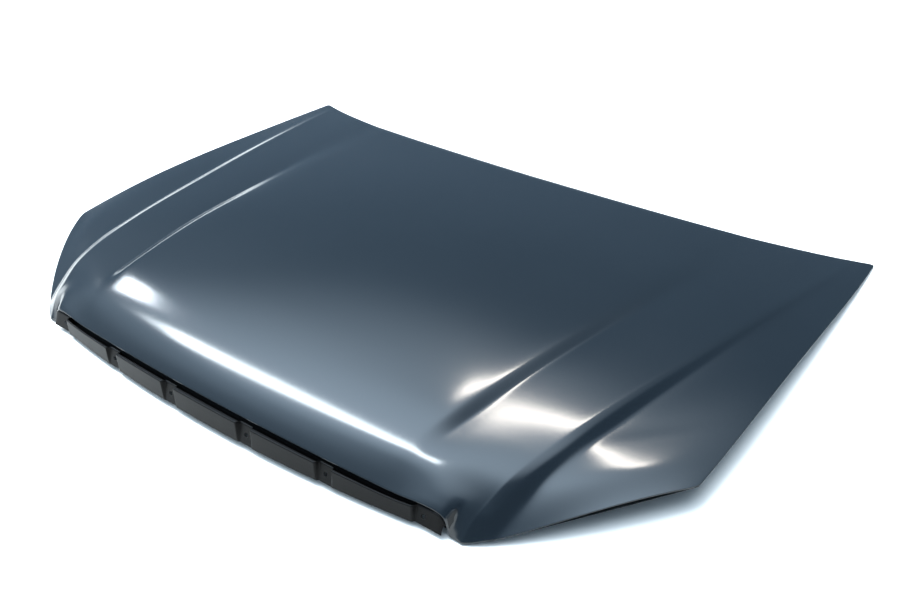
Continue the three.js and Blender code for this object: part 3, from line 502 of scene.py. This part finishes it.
class SheetMesh:
    """Collects grids of points and quads, and makes one closed mesh object of them."""

    def __init__(self, name: str) -> None:
        """Starts an empty mesh.

        Args:
            name: Name of the object to come.
        """
        self.name = name
        self.points: list[np.ndarray] = []
        self.quads: list[np.ndarray] = []
        self.count = 0

    def add_points(self, points: np.ndarray) -> np.ndarray:
        """Adds points of any array shape.

        Args:
            points: Points, the last axis holding X, Y and Z.

        Returns:
            Their numbers, in the shape of the array without its last axis.
        """
        numbers = np.arange(self.count, self.count + points[..., 0].size).reshape(points.shape[:-1])
        self.points.append(points.reshape(-1, 3))
        self.count += numbers.size
        return numbers

    def add_grid(self, numbers: np.ndarray, flip: bool = False, keep: np.ndarray | None = None) -> None:
        """Adds the quads of a grid of numbers.

        Args:
            numbers: Grid of point numbers.
            flip: Turn the quads over.
            keep: Cells to keep, or None for all.
        """
        corners = [numbers[:-1, :-1], numbers[:-1, 1:], numbers[1:, 1:], numbers[1:, :-1]]
        quads = np.stack(corners[::-1] if flip else corners, axis=-1)
        self.quads.append(quads[keep] if keep is not None else quads.reshape(-1, 4))

    def add_strip(self, first: np.ndarray, second: np.ndarray) -> None:
        """Adds quads between two loops of numbers of the same length.

        Args:
            first: Numbers along one loop.
            second: Numbers along the other.
        """
        first = np.append(first, first[0])
        second = np.append(second, second[0])
        self.quads.append(np.stack([first[:-1], first[1:], second[1:], second[:-1]], axis=-1))

    def build(self, smooth_angle: float) -> bpy.types.Object:
        """Makes the object, smooth but for edges sharper than an angle.

        Args:
            smooth_angle: Largest smooth edge angle in degrees.

        Returns:
            The new object, at the origin.
        """
        points = np.concatenate(self.points)
        quads = np.concatenate(self.quads)
        used, packed = np.unique(quads, return_inverse=True)
        quads = packed.reshape(-1, 4)
        points = points[used]
        mesh = bpy.data.meshes.new(self.name)
        mesh.vertices.add(len(points))
        mesh.vertices.foreach_set("co", points.astype(np.float32).ravel())
        mesh.loops.add(quads.size)
        mesh.loops.foreach_set("vertex_index", quads.astype(np.int32).ravel())
        mesh.polygons.add(len(quads))
        mesh.polygons.foreach_set("loop_start", np.arange(0, quads.size, 4, dtype=np.int32))
        mesh.update(calc_edges=True)
        mesh.validate()
        mesh.polygons.foreach_set("use_smooth", np.ones(len(mesh.polygons), dtype=bool))
        mesh.set_sharp_from_angle(angle=math.radians(smooth_angle))
        piece = bpy.data.objects.new(self.name, mesh)
        bpy.context.scene.collection.objects.link(piece)
        return piece


def ring(grid: np.ndarray) -> np.ndarray:
    """Edge of a grid as one loop: along the first row, up the last column, and back round."""
    return np.concatenate([grid[0, :-1], grid[:-1, -1], grid[-1, :0:-1], grid[:0:-1, 0]])


def add_masked_sheet(sheet: SheetMesh, upper: np.ndarray, lower: np.ndarray, keep: np.ndarray) -> None:
    """Adds a closed sheet of two layers over the kept cells, with walls along every open edge.

    Args:
        sheet: Mesh that takes it.
        upper: Points of the upper side.
        lower: Points of the lower side.
        keep: Cells that exist.
    """
    top = sheet.add_points(upper)
    bottom = sheet.add_points(lower)
    sheet.add_grid(top, keep=keep)
    sheet.add_grid(bottom, flip=True, keep=keep)
    padded = np.pad(keep, 1)
    inside = padded[1:-1, 1:-1]
    walls = (
        (inside & ~padded[:-2, 1:-1], (slice(0, -1), slice(0, -1)), (slice(0, -1), slice(1, None))),
        (inside & ~padded[1:-1, 2:], (slice(0, -1), slice(1, None)), (slice(1, None), slice(1, None))),
        (inside & ~padded[2:, 1:-1], (slice(1, None), slice(1, None)), (slice(1, None), slice(0, -1))),
        (inside & ~padded[1:-1, :-2], (slice(1, None), slice(0, -1)), (slice(0, -1), slice(0, -1))),
    )
    for open_edge, start, end in walls:
        quads = np.stack([top[end], top[start], bottom[start], bottom[end]], axis=-1)
        sheet.quads.append(quads[open_edge])


def rounded_path(corners: list[np.ndarray], cuts: tuple[float, ...], counts: tuple[int, ...],
                 steps: int = 5) -> np.ndarray:
    """Rows of points along a bent path with its inner corners rounded.

    Each inner corner c, cut back by a length to a and b, becomes (1−q)²a + 2q(1−q)c + q²b.

    Args:
        corners: Corner points, one array of points across the part for each.
        cuts: Length cut back at each corner, 0 at both ends.
        counts: Number of rows on each straight stretch, its ends included.
        steps: Rows inside each rounding.

    Returns:
        Array of rows.
    """
    rows = []
    for index, (start, end) in enumerate(zip(corners[:-1], corners[1:])):
        direction = unit(end - start)
        first = start + direction * cuts[index]
        last = end - direction * cuts[index + 1]
        rows.extend(blend(first, last, share) for share in np.linspace(0.0, 1.0, counts[index]))
        if index + 2 < len(corners):
            after = end + unit(corners[index + 2] - end) * cuts[index + 1]
            for share in np.linspace(0.0, 1.0, steps + 2)[1:-1]:
                rows.append((1 - share) ** 2 * last + 2 * share * (1 - share) * end + share ** 2 * after)
    return np.stack(rows)


class Wire:
    """A shader value that Python arithmetic can be done on: every operation adds a Math node."""

    def __init__(self, kit: "ShaderKit", socket: bpy.types.NodeSocket) -> None:
        self.kit = kit
        self.socket = socket

    def _math(self, operation: str, *values: "Wire | float") -> "Wire":
        """Math node of an operation over wires and numbers."""
        inputs = {index: value for index, value in enumerate(values)}
        return self.kit.node("ShaderNodeMath", {"operation": operation}, inputs)

    def __add__(self, other: "Wire | float") -> "Wire":
        """Sum."""
        return self._math("ADD", self, other)

    def __radd__(self, other: float) -> "Wire":
        """Sum with a number on the left."""
        return self._math("ADD", other, self)

    def __sub__(self, other: "Wire | float") -> "Wire":
        """Difference."""
        return self._math("SUBTRACT", self, other)

    def __mul__(self, other: "Wire | float") -> "Wire":
        """Product."""
        return self._math("MULTIPLY", self, other)

    def __pow__(self, other: "Wire | float") -> "Wire":
        """Power."""
        return self._math("POWER", self, other)


class ShaderKit:
    """Node tree of one material, filled through one method."""

    def __init__(self, owner: bpy.types.Material | bpy.types.World) -> None:
        """Takes the node tree of a material or a world.

        Args:
            owner: The material or world, with its nodes in use.
        """
        self.owner = owner
        self.tree = owner.node_tree
        kinds = ("BSDF_PRINCIPLED", "BACKGROUND")
        self.shader = next(node for node in self.tree.nodes if node.type in kinds)

    @classmethod
    def fresh(cls, name: str) -> "ShaderKit":
        """Kit of a new material with a Principled shader."""
        material = bpy.data.materials.new(name)
        material.use_nodes = True
        return cls(material)

    def node(self, kind: str, settings: dict[str, object], inputs: dict[str | int, object],
             output: str | int = 0) -> Wire:
        """Adds a node.

        Args:
            kind: Node type.
            settings: Its properties.
            inputs: Its inputs by name or number, as wires or plain values.
            output: Output to hand back.

        Returns:
            The output as a wire.
        """
        made = self.tree.nodes.new(kind)
        for key, value in settings.items():
            setattr(made, key, value)
        for key, value in inputs.items():
            if isinstance(value, Wire):
                self.tree.links.new(value.socket, made.inputs[key])
            else:
                made.inputs[key].default_value = value
        return Wire(self, made.outputs[output])

    def place(self) -> Wire:
        """Object coordinates."""
        return self.node("ShaderNodeTexCoord", {}, {}, "Object")

    def noise(self, scale: float, detail: float = 2.0, roughness: float = 0.5) -> Wire:
        """Noise over the object's coordinates, scale in cells per metre."""
        return self.node("ShaderNodeTexNoise", {},
                         {"Vector": self.place(), "Scale": scale, "Detail": detail, "Roughness": roughness})

    def tint(self, share: Wire, first: tuple[float, ...], second: tuple[float, ...]) -> Wire:
        """Colour between two by a share."""
        return self.node("ShaderNodeMix", {"data_type": "RGBA"},
                         {"Factor": share, 6: (*first, 1.0), 7: (*second, 1.0)}, 2)

    def along(self, direction: Wire, axis: tuple[float, float, float]) -> Wire:
        """Dot product of a direction with an axis."""
        return self.node("ShaderNodeVectorMath", {"operation": "DOT_PRODUCT"},
                         {0: direction, 1: axis}, "Value")

    def tinted(self, colour: tuple[float, float, float], share: Wire | float) -> Wire:
        """Colour times a value."""
        return self.node("ShaderNodeVectorMath", {"operation": "SCALE"}, {0: colour, "Scale": share})

    def total(self, first: Wire, second: Wire) -> Wire:
        """Sum of two colours."""
        return self.node("ShaderNodeVectorMath", {"operation": "ADD"}, {0: first, 1: second})

    def bump(self, height: Wire, strength: float, distance: float) -> Wire:
        """Bump normal from a height."""
        return self.node("ShaderNodeBump", {}, {"Height": height, "Strength": strength, "Distance": distance})

    def feed(self, sockets: dict[str, object]) -> bpy.types.Material:
        """Sets the shader's own sockets, by wire or by value.

        Args:
            sockets: Values by socket name.

        Returns:
            The finished material.
        """
        for key, value in sockets.items():
            if isinstance(value, Wire):
                self.tree.links.new(value.socket, self.shader.inputs[key])
            else:
                self.shader.inputs[key].default_value = value
        return self.owner


@dataclass(frozen=True)
class PrimerFinish:
    """Baked dip primer: a dark satin coat with faint grain, orange peel and cloudy gloss."""

    name: str
    dark: tuple[float, float, float]
    light: tuple[float, float, float]
    roughness: float
    gloss_spread: float
    peel: float
    specular: float = 0.5
    cloud_scale: float = 3.0
    grain_scale: float = 420.0
    peel_scale: float = 150.0
    grain_share: float = 0.3
    grain_gloss: float = 0.06
    grain_peel: float = 0.5
    peel_height: float = 0.0004

    def material(self) -> bpy.types.Material:
        """Colour and gloss drift with broad noise; fine noise makes the peel."""
        kit = ShaderKit.fresh(self.name)
        cloud = kit.noise(self.cloud_scale, 3.0)
        grain = kit.noise(self.grain_scale, 3.0, 0.6)
        peel = kit.noise(self.peel_scale)
        gloss = (cloud - 0.5) * self.gloss_spread
        return kit.feed({
            "Base Color": kit.tint(cloud * (1.0 - self.grain_share) + grain * self.grain_share, self.dark,
                                   self.light),
            "Roughness": self.roughness + gloss + (grain - 0.5) * self.grain_gloss,
            "Normal": kit.bump(peel + grain * self.grain_peel, self.peel, self.peel_height),
            "Specular IOR Level": self.specular,
        })


@dataclass(frozen=True)
class ZincFinish:
    """Dull zinc plating, mottled in colour and gloss."""

    name: str = "zinc plate"
    dark: tuple[float, float, float] = (0.42, 0.42, 0.41)
    light: tuple[float, float, float] = (0.62, 0.62, 0.6)
    roughness: float = 0.3
    gloss_spread: float = 0.25
    metallic: float = 0.95

    def material(self) -> bpy.types.Material:
        """Spangle noise shifts the grey and the roughness."""
        kit = ShaderKit.fresh(self.name)
        spangle = kit.noise(scale=260.0, detail=4.0)
        cloud = kit.noise(scale=35.0)
        return kit.feed({
            "Base Color": kit.tint(cloud, self.dark, self.light),
            "Roughness": self.roughness + spangle * self.gloss_spread,
            "Normal": kit.bump(spangle, strength=0.15, distance=0.0003),
            "Metallic": self.metallic,
        })


@dataclass(frozen=True)
class MasticFinish:
    """Matt cured mastic."""

    name: str = "mastic"
    dark: tuple[float, float, float] = (0.02, 0.02, 0.021)
    light: tuple[float, float, float] = (0.045, 0.045, 0.046)
    roughness: float = 0.7
    gloss_spread: float = 0.2

    def material(self) -> bpy.types.Material:
        """Lumpy fine noise over near black."""
        kit = ShaderKit.fresh(self.name)
        lumps = kit.noise(scale=300.0, detail=3.0)
        return kit.feed({
            "Base Color": kit.tint(lumps, self.dark, self.light),
            "Roughness": self.roughness + lumps * self.gloss_spread,
            "Normal": kit.bump(lumps, strength=0.4, distance=0.0006),
        })


@dataclass(frozen=True)
class FloorFinish:
    """Plain pale studio floor."""

    name: str = "pale floor"
    dark: tuple[float, float, float] = (0.88, 0.80, 0.72)
    light: tuple[float, float, float] = (0.90, 0.82, 0.74)
    roughness: float = 0.75
    gloss_spread: float = 0.1

    def material(self) -> bpy.types.Material:
        """Near-white, faintly uneven."""
        kit = ShaderKit.fresh(self.name)
        drift = kit.noise(scale=1.3)
        return kit.feed({
            "Base Color": kit.tint(drift, self.dark, self.light),
            "Roughness": self.roughness + drift * self.gloss_spread,
        })


class Part:
    """Shared steps of the sub-assemblies that replace a solid."""

    def dress(self, piece: bpy.types.Object, material: bpy.types.Material, slot: str, *nodes: str) -> None:
        """Gives a new piece its finish, hides the solids that it replaces, and lets it ride.

        Args:
            piece: The new piece.
            material: Its finish.
            slot: Not used.
            nodes: Solids that it replaces.
        """
        piece.data.materials.clear()
        piece.data.materials.append(material)
        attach(piece, "root")
        if nodes:
            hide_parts(*nodes)
        LOG.info("%s: %d faces", piece.name, len(piece.data.polygons))


@dataclass
class OuterSkin(Part):
    """Outer skin: one sheet, hemmed all round under the flange of the inner frame."""

    surface: OuterSurface
    sheet: float = 0.8
    hem_depth: float = 2.9
    hem_width: float = 10.0
    fold_steps: int = 6
    fine_across: float = 1.3
    growth_across: float = 0.115
    coarse_across: float = 11.0
    fine_back: float = 2.2
    growth_back: float = 0.055
    coarse_back: float = 10.0
    grid_length: float = 1050.0
    nose_place: float = 25.0
    smooth_angle: float = 40.0

    def grid(self) -> tuple[np.ndarray, np.ndarray]:
        """Front places and shares of the right half, crowded at the pressed lines and at the edges."""
        knots = self.surface.knots
        lines = tuple(knots[name][0] for name in ("crease", "ridge", "swage", "foot", "side"))
        lines += (blend(knots["shoulder"][0], knots["crease"][0], self.surface.bend_share),)
        corner = self.surface.corner_x
        ear = (corner - self.surface.lip_end_inset, corner - self.surface.ear_width)
        places = graded_places(self.surface.lamp_x, lines + ear, self.fine_across, self.growth_across,
                               self.coarse_across)
        rows = graded_places(self.grid_length, (0.0, self.nose_place, self.grid_length), self.fine_back,
                             self.growth_back, self.coarse_back)
        return np.meshgrid(places, rows / self.grid_length)

    def build(self) -> bpy.types.Object:
        """Outer face, half-round fold, return flange and inner face as one closed sheet.

        The fold carries a half circle of radius r = hem_depth / 2 round the edge: each edge point moves by
        T·r·sin a − N·r·(1 − cos a), T pointing out of the edge in the surface and N along its normal.

        Returns:
            The skin.
        """
        places, shares = self.grid()
        outer = mirrored(self.surface.points(places, shares))
        normals = self.steady_normals(outer, shares)
        edge = ring(outer)
        edge_normal = ring(normals)
        inward = self.edge_tangents(outer)
        inward -= np.sum(inward * edge_normal, axis=1, keepdims=True) * edge_normal
        inward /= np.linalg.norm(inward, axis=1, keepdims=True)
        radius = self.hem_depth / 2 * MM
        edge = edge + inward * radius
        self.put_ring(outer, edge)
        sheet = SheetMesh("skin_sheet")
        top = sheet.add_points(outer)
        sheet.add_grid(top)
        angles = np.linspace(0.0, math.pi, self.fold_steps + 1)[1:, None, None]
        fold = (edge[None] - inward[None] * radius * np.sin(angles)
                - edge_normal[None] * radius * (1 - np.cos(angles)))
        loops = [ring(top)] + [sheet.add_points(line) for line in fold]
        depth = self.hem_depth * MM
        thickness = self.sheet * MM
        width = self.hem_width * MM
        for inset, drop in ((width, depth), (width, depth - thickness), (0.0, depth - thickness)):
            loops.append(sheet.add_points(edge + inward * inset - edge_normal * drop))
        inner = outer - normals * thickness
        self.put_ring(inner, edge - edge_normal * thickness)
        bottom = sheet.add_points(inner)
        sheet.add_grid(bottom, flip=True)
        loops.append(ring(bottom))
        for first, second in zip(loops[:-1], loops[1:]):
            sheet.add_strip(second, first)
        return sheet.build(self.smooth_angle)

    @staticmethod
    def steady_normals(grid: np.ndarray, shares: np.ndarray, margin: int = 4) -> np.ndarray:
        """Normals of the sheet, with those of its edge taken from some rows inside where cells are squeezed.

        The rounded corners squeeze the outermost cells near the sides and in the rear half.

        Args:
            grid: Points of the whole sheet.
            shares: Shares of the way back of the right half.
            margin: Rows and columns that are passed over.

        Returns:
            Unit normals.
        """
        normals = grid_normals(grid)
        inside = normals[margin:-margin, margin:-margin]
        held = np.pad(inside, ((margin, margin), (margin, margin), (0, 0)), mode="edge")
        columns = np.arange(grid.shape[1])
        at_side = np.minimum(columns, columns[::-1]) < 2 * margin
        mask = at_side[None, :] | (shares[:, :1] > 0.5)
        return np.where(mask[..., None], held, normals)

    @staticmethod
    def edge_tangents(grid: np.ndarray, margin: int = 5) -> np.ndarray:
        """Unit vectors from each edge point into the surface, aimed at a point some rows and columns inside.

        Args:
            grid: Points of the whole sheet.
            margin: Rows and columns between an edge point and its aim.

        Returns:
            One vector for each point of the edge loop.
        """
        rows = np.clip(np.arange(grid.shape[0]), margin, grid.shape[0] - 1 - margin)
        columns = np.clip(np.arange(grid.shape[1]), margin, grid.shape[1] - 1 - margin)
        return unit(ring(grid[np.ix_(rows, columns)] - grid))

    @staticmethod
    def put_ring(grid: np.ndarray, edge: np.ndarray) -> None:
        """Writes a loop of points back to the edge of a grid."""
        rows, columns = grid.shape[:2]
        first, second, third = columns - 1, columns + rows - 2, 2 * columns + rows - 3
        grid[0, :-1] = edge[:first]
        grid[:-1, -1] = edge[first:second]
        grid[-1, :0:-1] = edge[second:third]
        grid[:0:-1, 0] = edge[third:]


@dataclass
class GrilleRail(Part):
    """Grille rail under the front lip: a folded sheet with a face, a deep groove and a seat below the beam,
    and flat drilled pads pressed back into the face."""

    surface: OuterSurface
    half_length: float = 442.0
    standoff: float = 14.0
    end_standoff: float = 7.0
    below_lip: float = 2.0
    foot: float = 12.0
    end_foot: float = 9.0
    pads: tuple[float, ...] = (87.0, 243.0, 409.0)
    pad_half: float = 12.0
    pad_wall: float = 4.0
    pad_top_recess: float = 9.0
    pad_foot_recess: float = 1.5
    pad_drop: float = 3.0
    hole_radius: float = 3.5
    end_radius: float = 12.0
    flange: float = 3.5
    groove_depth: float = 19.0
    groove_width: float = 7.0
    seat_distance: float = 39.0
    seat_drop: float = 3.4
    seat_depth: float = 18.0
    step_length: float = 8.0
    step_drop: float = 2.0
    sheet: float = 1.0
    top_fall: float = 0.4
    groove_draft: float = 1.5
    bend_cuts: tuple[float, ...] = (0.0, 2.2, 1.6, 2.0, 4.0, 3.0, 3.0, 0.0)
    face_rows: int = 36
    stretch_rows: tuple[int, ...] = (2, 8, 3, 8, 2, 6)
    fine: float = 1.0
    growth: float = 0.12
    coarse: float = 7.0
    hole_snap: float = 0.75
    smooth_angle: float = 50.0

    def build(self) -> bpy.types.Object:
        """Face, groove, step and seat as one closed sheet, drilled at the pads.

        Returns:
            The rail.
        """
        half = graded_places(self.half_length, self.edges(), self.fine, self.growth, self.coarse)
        x = np.concatenate([-half[:0:-1], half])
        away = np.abs(x)
        pressed = self.pressed(away)
        centre = np.array(self.pads)[np.argmin(np.abs(away[:, None] - np.array(self.pads)[None]), axis=1)]
        lip, along, end = self.lip(away), (away / self.half_length) ** 2, self.end_drop(away)
        flat_lip, flat_along = self.lip(centre), (centre / self.half_length) ** 2
        lip_y = blend(lip[:, 1], flat_lip[:, 1], pressed)
        lip_z = blend(lip[:, 2], flat_lip[:, 2], pressed)
        along = blend(along, flat_along, pressed)
        face = lip_y - blend(self.standoff, self.end_standoff, along)
        foot = blend(self.foot, self.end_foot, along) + self.surface.origin_z
        top = lip_z - self.below_lip - end - self.pad_drop * pressed
        top_y = face + self.pad_top_recess * pressed
        foot_y = face + self.pad_foot_recess * pressed
        back = np.maximum(top_y + self.flange, lip[:, 1] - self.end_standoff)
        low = lip[:, 2] - self.groove_depth
        seat = lip[:, 1] + self.seat_distance
        level = lip[:, 2] - self.seat_drop
        corners = [np.stack([x, y, z], axis=-1) for y, z in (
            (foot_y, foot), (top_y, top), (back, top - self.top_fall), (back + self.groove_draft, low),
            (lip[:, 1] + self.groove_width, low), (seat - self.step_length, level - self.step_drop),
            (seat, level), (seat + self.seat_depth, level))]
        upper = rounded_path(corners, self.bend_cuts, (self.face_rows, *self.stretch_rows))
        keep = np.ones((upper.shape[0] - 1, upper.shape[1] - 1), dtype=bool)
        slope = (top_y - foot_y) / (top - foot)
        front, cells = upper[:self.face_rows], keep[:self.face_rows - 1]
        for place in self.pads:
            for side in (-1.0, 1.0):
                self.drill(front, cells, side * place, foot, top, slope)
        normals = grid_normals(upper)
        sheet = SheetMesh("rail_sheet")
        add_masked_sheet(sheet, upper * MM, (upper - normals * self.sheet) * MM, keep)
        return sheet.build(self.smooth_angle)

    def edges(self) -> tuple[float, ...]:
        """Places where the face bends across the car."""
        reach = self.pad_half + self.pad_wall / 2
        walls = [place + sign * reach for place in self.pads for sign in (-1, 1)]
        return (*[wall for wall in walls if wall < self.half_length - self.end_radius], *self.pads,
                self.half_length)

    def pressed(self, away: np.ndarray) -> np.ndarray:
        """Share of a pad's full recess: 1 on a pad, 0 between pads, and 1 from the last pad to the end."""
        far = np.abs(away[:, None] - np.array(self.pads)[None]) - self.pad_half
        far[:, -1] = np.maximum(self.pads[-1] - self.pad_half - away, 0.0)
        return 1 - smooth_step(0.0, self.pad_wall, np.min(np.maximum(far, 0.0), axis=1))

    def lip(self, away: np.ndarray) -> np.ndarray:
        """Points of the skin's front lip at distances from the mirror plane, in millimetres."""
        held = np.minimum(away, self.surface.corner_x - self.surface.notch_width)
        return self.surface.points(held, np.zeros_like(held)) / MM

    def end_drop(self, away: np.ndarray) -> np.ndarray:
        """Drop of the top edge along a quarter circle at each end: r − √(r² − s²)."""
        over = np.clip(away - (self.half_length - self.end_radius), 0.0, self.end_radius)
        return self.end_radius - np.sqrt(self.end_radius ** 2 - over ** 2)

    def drill(self, face: np.ndarray, keep: np.ndarray, place: float, foot: np.ndarray, top: np.ndarray,
              slope: np.ndarray) -> None:
        """Opens a round hole half way up a pad: points near its edge are drawn onto the circle.

        Args:
            face: Rows of the face, changed in place.
            keep: Cells of the face, changed in place.
            place: X of the hole.
            foot: Height of the foot across the car.
            top: Height of the top edge across the car.
            slope: Change of Y with height across the car.
        """
        column = int(np.argmin(np.abs(face[0, :, 0] - place)))
        level = (foot[column] + top[column]) / 2
        across = face[..., 0] - place
        up = face[..., 2] - level
        radius = np.hypot(across, up)
        cells = radius[:-1, :-1] + radius[1:, :-1] + radius[:-1, 1:] + radius[1:, 1:]
        keep &= cells / 4 > self.hole_radius
        near = np.abs(radius - self.hole_radius) < self.hole_snap
        scale = np.where(near, self.hole_radius / np.maximum(radius, 1e-6), 1.0)
        moved = up * scale - up
        face[..., 0] += across * scale - across
        face[..., 2] += moved
        face[..., 1] += moved * slope[column]


@dataclass
class KeptSolids:
    """Frame, plates, nuts, bolts, striker and mastic pads, which keep their solids."""

    replaced: tuple[str, ...] = ("outer_skin", "grille_rail")
    zinc_starts: tuple[str, ...] = ("hinge_nut", "striker")
    mastic_start: str = "mastic"

    def dress(self, inner: bpy.types.Material, zinc: bpy.types.Material,
              mastic: bpy.types.Material) -> None:
        """Gives each solid the finish that its name calls for.

        Args:
            inner: Finish of the frame and the plates.
            zinc: Finish of the nuts, the bolts and the striker.
            mastic: Finish of the mastic pads.
        """
        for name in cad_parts:
            if name in self.replaced:
                continue
            finish = inner
            if name.startswith(self.zinc_starts):
                finish = zinc
            elif name.startswith(self.mastic_start):
                finish = mastic
            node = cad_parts[name]
            node.data.materials.clear()
            node.data.materials.append(finish)
            LOG.info("%s keeps its solid", name)


@dataclass(frozen=True)
class Lamp:
    """Rectangular soft light whose width lies along X; sizes in metres, power in watts."""

    name: str
    place: tuple[float, float, float]
    target: tuple[float, float, float]
    size: tuple[float, float]
    power: float
    colour: tuple[float, float, float]

    def build(self) -> None:
        """Hangs the light at its place, facing its target."""
        data = bpy.data.lights.new(self.name, "AREA")
        data.shape = "RECTANGLE"
        data.size, data.size_y = self.size
        data.energy = self.power
        data.color = self.colour
        lamp = bpy.data.objects.new(self.name, data)
        back = (Vector(self.place) - Vector(self.target)).normalized()
        up = back.cross(Vector((1.0, 0.0, 0.0))).normalized()
        turn = Matrix((up.cross(back), up, back)).transposed().to_4x4()
        lamp.matrix_world = Matrix.Translation(Vector(self.place)) @ turn
        bpy.context.scene.collection.objects.link(lamp)


@dataclass
class Studio:
    """Floor, camera, and lights placed for the reflections in the skin."""

    camera_place: tuple[float, float, float] = (0.955, -1.24973, 0.99868)
    camera_right: tuple[float, float, float] = (0.81734826, 0.57614131, 0.00173469)
    camera_down: tuple[float, float, float] = (0.32355318, -0.45651634, -0.82879803)
    camera_ahead: tuple[float, float, float] = (-0.47671287, 0.67797789, -0.55954519)
    focal: float = 912.0
    picture_width: float = 900.0
    sensor: float = 36.0
    room_colour: tuple[float, float, float] = (0.20, 0.31, 0.44)
    overhead_colour: tuple[float, float, float] = (3.66, 4.54, 5.38)
    overhead_axis: tuple[float, float, float] = (-0.176, 0.172, 0.969)
    overhead_start: float = 0.671
    overhead_end: float = 1.05
    glow_colour: tuple[float, float, float] = (2.2, 2.9, 3.6)
    glow_axis: tuple[float, float, float] = (-0.441, -0.266, 0.857)
    glow_power: float = 4.5
    floor_half: float = 14.0
    view_end: float = 100.0
    lamps: tuple[Lamp, ...] = (
        Lamp("nose strip", (-1.35, -0.66, 3.0), (-0.7, -0.6, 0.0), (3.1, 0.46), 140.0, (0.86, 0.95, 1.0)),
        Lamp("nose strip end", (-3.2, -0.55, 3.0), (-0.7, -0.6, 0.0), (0.6, 0.3), 8.0, (0.86, 0.95, 1.0)),
        Lamp("left window", (-4.3, 0.55, 3.0), (-0.5, -0.3, 0.1), (0.5, 0.7), 50.0, (0.85, 0.93, 1.0)),
        Lamp("warm strip", (-0.09, 2.05, 3.0), (0.4, -0.2, 0.1), (1.59, 0.28), 50.0, (1.0, 0.93, 0.84)),
    )

    def floor(self) -> None:
        """One large square under the part."""
        mesh = bpy.data.meshes.new("floor")
        half = self.floor_half
        mesh.from_pydata([(-half, -half, 0), (half, -half, 0), (half, half, 0), (-half, half, 0)], [],
                         [(0, 1, 2, 3)])
        floor = bpy.data.objects.new("floor", mesh)
        bpy.context.scene.collection.objects.link(floor)
        floor.data.materials.append(FloorFinish().material())

    def camera(self) -> None:
        """Camera with the photograph's place, direction and lens."""
        data = bpy.data.cameras.new("camera")
        data.sensor_width = self.sensor
        data.lens = self.focal / self.picture_width * self.sensor
        data.clip_end = self.view_end
        camera = bpy.data.objects.new("camera", data)
        right = Vector(self.camera_right)
        up = -Vector(self.camera_down)
        back = -Vector(self.camera_ahead)
        turn = Matrix((right, up, back)).transposed().to_4x4()
        camera.matrix_world = Matrix.Translation(Vector(self.camera_place)) @ turn
        bpy.context.scene.collection.objects.link(camera)
        bpy.context.scene.camera = camera
        bpy.context.scene.view_settings.view_transform = "Standard"

    def surroundings(self) -> None:
        """Dim bluish room with an overhead light and a soft glow.

        It is room + overhead · step(d·a) + glow · max(0, d·g)^p, d being the direction, a the overhead
        axis, g the glow axis, p the glow's power and step a smooth step.
        """
        world = bpy.data.worlds.new("studio")
        world.use_nodes = True
        kit = ShaderKit(world)
        direction = kit.node("ShaderNodeTexCoord", {}, {}, "Generated")
        overhead = kit.node("ShaderNodeMapRange", {"interpolation_type": "SMOOTHSTEP"}, {
            "Value": kit.along(direction, self.overhead_axis),
            "From Min": self.overhead_start,
            "From Max": self.overhead_end,
        })
        facing = kit.along(direction, self.glow_axis)
        glow = kit.node("ShaderNodeMath", {"operation": "MAXIMUM"}, {0: facing, 1: 0.0}) ** self.glow_power
        colour = kit.tinted(self.room_colour, 1.0)
        colour = kit.total(colour, kit.tinted(self.overhead_colour, overhead))
        colour = kit.total(colour, kit.tinted(self.glow_colour, glow))
        kit.tree.links.new(colour.socket, kit.shader.inputs["Color"])
        bpy.context.scene.world = world

    def build(self) -> None:
        """Floor, camera, dim room, and long cool and short warm lights."""
        self.floor()
        self.camera()
        self.surroundings()
        for lamp in self.lamps:
            lamp.build()


def main() -> None:
    """Builds the studio and every sub-assembly, and reports each piece."""
    logging.basicConfig(level=logging.INFO, format="%(message)s")
    Studio().build()
    surface = OuterSurface()
    skin_primer = PrimerFinish("skin primer", (0.004, 0.006, 0.008), (0.006, 0.009, 0.012),
                               roughness=0.15, gloss_spread=0.04, peel=0.05)
    inner_primer = PrimerFinish("inner primer", (0.006, 0.0065, 0.007), (0.012, 0.0125, 0.013),
                                roughness=0.38, gloss_spread=0.12, peel=0.15, specular=0.22)
    rail_primer = PrimerFinish("rail primer", (0.0022, 0.0020, 0.0019), (0.0060, 0.0056, 0.0053),
                               roughness=0.34, gloss_spread=0.16, peel=0.1, specular=0.06)
    skin = OuterSkin(surface)
    skin.dress(skin.build(), skin_primer.material(), Slot.SKIN.value, "outer_skin")
    rail = GrilleRail(surface)
    rail.dress(rail.build(), rail_primer.material(), Slot.INNER.value, "grille_rail")
    KeptSolids().dress(inner_primer.material(), ZincFinish().material(), MasticFinish().material())


if __name__ == "__main__":
    main()
